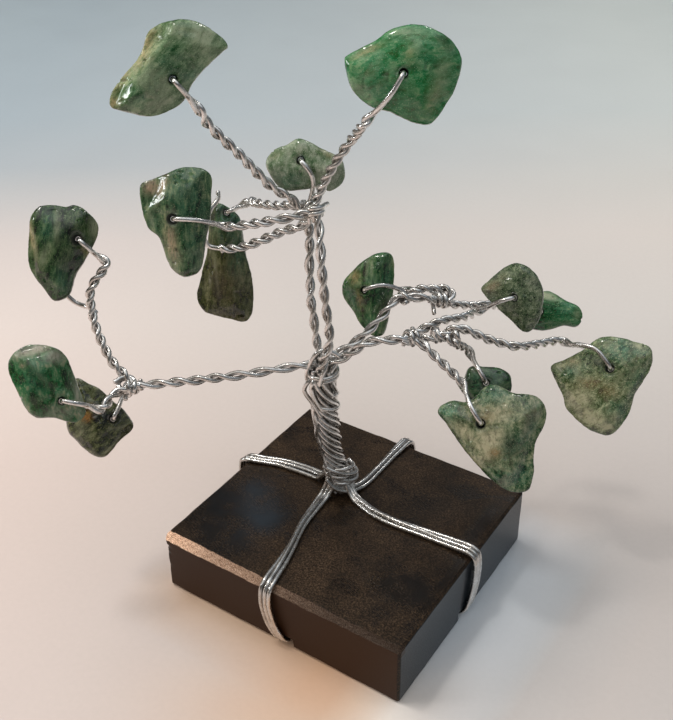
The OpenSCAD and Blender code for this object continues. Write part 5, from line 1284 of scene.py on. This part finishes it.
def build_world():
    w = bpy.data.worlds.new("studio")
    SCENE.world = w
    w.use_nodes = True
    nt = w.node_tree
    nt.nodes.clear()
    n = Nodes(nt)
    out = n.add("ShaderNodeOutputWorld")
    bg = n.add("ShaderNodeBackground")
    n.link(bg.outputs[0], out.inputs[0])
    tc = n.add("ShaderNodeTexCoord")
    sep = n.add("ShaderNodeSeparateXYZ")
    n.link(tc.outputs["Generated"], sep.inputs[0])
    up = n.ramp(n.grey(sep.outputs[2], -0.2, 1.0), [(0.0, (0.42, 0.37, 0.33)), (0.20, (0.15, 0.135, 0.12)), (0.50, (0.085, 0.082, 0.080)), (0.66, (0.11, 0.11, 0.11)), (0.80, (0.36, 0.355, 0.35)), (1.0, (0.95, 0.93, 0.90))])
    side = n.math("ADD", n.math("MULTIPLY", sep.outputs[0], 0.833), n.math("MULTIPLY", sep.outputs[1], 0.553))
    tint = n.ramp(n.grey(side, -1.0, 1.0), [(0.0, (1.9, 1.75, 1.55)), (0.4, (1.0, 1.0, 1.0)), (1.0, (1.25, 1.45, 1.65))])
    n.link(n.mix(1.0, up, tint, "MULTIPLY"), bg.inputs["Color"])
    bg.inputs["Strength"].default_value = 1.0


build_world()


def area(name, where, target, size, power, colour, size_y=None):
    light = bpy.data.lights.new(name, "AREA")
    light.shape = "RECTANGLE"
    light.size = size
    light.size_y = size_y or size
    light.energy = power
    light.color = colour
    o = bpy.data.objects.new(name, light)
    o.location = where
    o.rotation_euler = (Vector(target) - Vector(where)).to_track_quat("-Z", "Y").to_euler()
    SCENE.collection.objects.link(o)
    return o


RIGHT = Vector((0.833, 0.553, -0.013))
AHEAD = Vector((-0.560, 0.828, 0.0))
UP = Vector((0, 0, 1))


def place(right, ahead, up):
    """a place given from the viewer's side, in metres"""
    return Vector((0, 0, 0.03)) + right * RIGHT + ahead * AHEAD + up * UP


def soft(o):
    """lights the scene, but is not seen as a shape in polished surfaces"""
    o.visible_glossy = False
    return o


soft(area("key_soft", place(-0.42, 0.18, 0.60), (0, 0, 0.04), 0.55, 5.7, (1.0, 0.975, 0.94)))
soft(area("fill_front", place(-0.30, -0.60, 0.40), (0, 0, 0.03), 0.6, 2.2, (1.0, 0.93, 0.86)))
soft(area("fill_right", place(0.70, 0.15, 0.35), (0, 0, 0.03), 0.6, 1.4, (0.90, 0.95, 1.0)))
area("lamp", place(-0.20, 0.06, 0.60), (0, 0, 0.05), 0.055, 0.75, (1.0, 0.96, 0.90))
area("window", place(-0.60, -0.05, 0.34), (0, 0, 0.05), 0.05, 0.55, (0.95, 0.98, 1.0), 0.16)
area("sky_window", (-0.254, 0.279, 0.345), (-0.0143, -0.0077, 0.0127), 0.022, 0.0065, (0.50, 0.76, 1.0), 0.034)
area("far_lamp", place(0.22, 0.50, 0.50), (0, 0, 0.05), 0.05, 0.22, (1.0, 0.97, 0.93))


def build_camera():
    cam = bpy.data.cameras.new("camera")
    cam.sensor_fit = "VERTICAL"
    cam.sensor_height = 24.0
    cam.sensor_width = 24.0
    cam.lens = 24.0 * 1002.29 / 720.0
    cam.clip_start = 0.005
    cam.clip_end = 20.0
    o = bpy.data.objects.new("camera", cam)
    f = Vector((-0.467513, 0.691244, -0.551012)).normalized()
    r = Vector((0.833006, 0.553114, -0.012893)).normalized()
    u = r.cross(f).normalized()
    r = f.cross(u).normalized()
    loc = Vector((77.321, -117.396, 139.496)) * MM
    o.matrix_world = Matrix([[r.x, u.x, -f.x, loc.x], [r.y, u.y, -f.y, loc.y], [r.z, u.z, -f.z, loc.z], [0, 0, 0, 1]])
    SCENE.collection.objects.link(o)
    SCENE.camera = o


build_camera()
SCENE.view_settings.view_transform = "Standard"
SCENE.view_settings.look = "None"
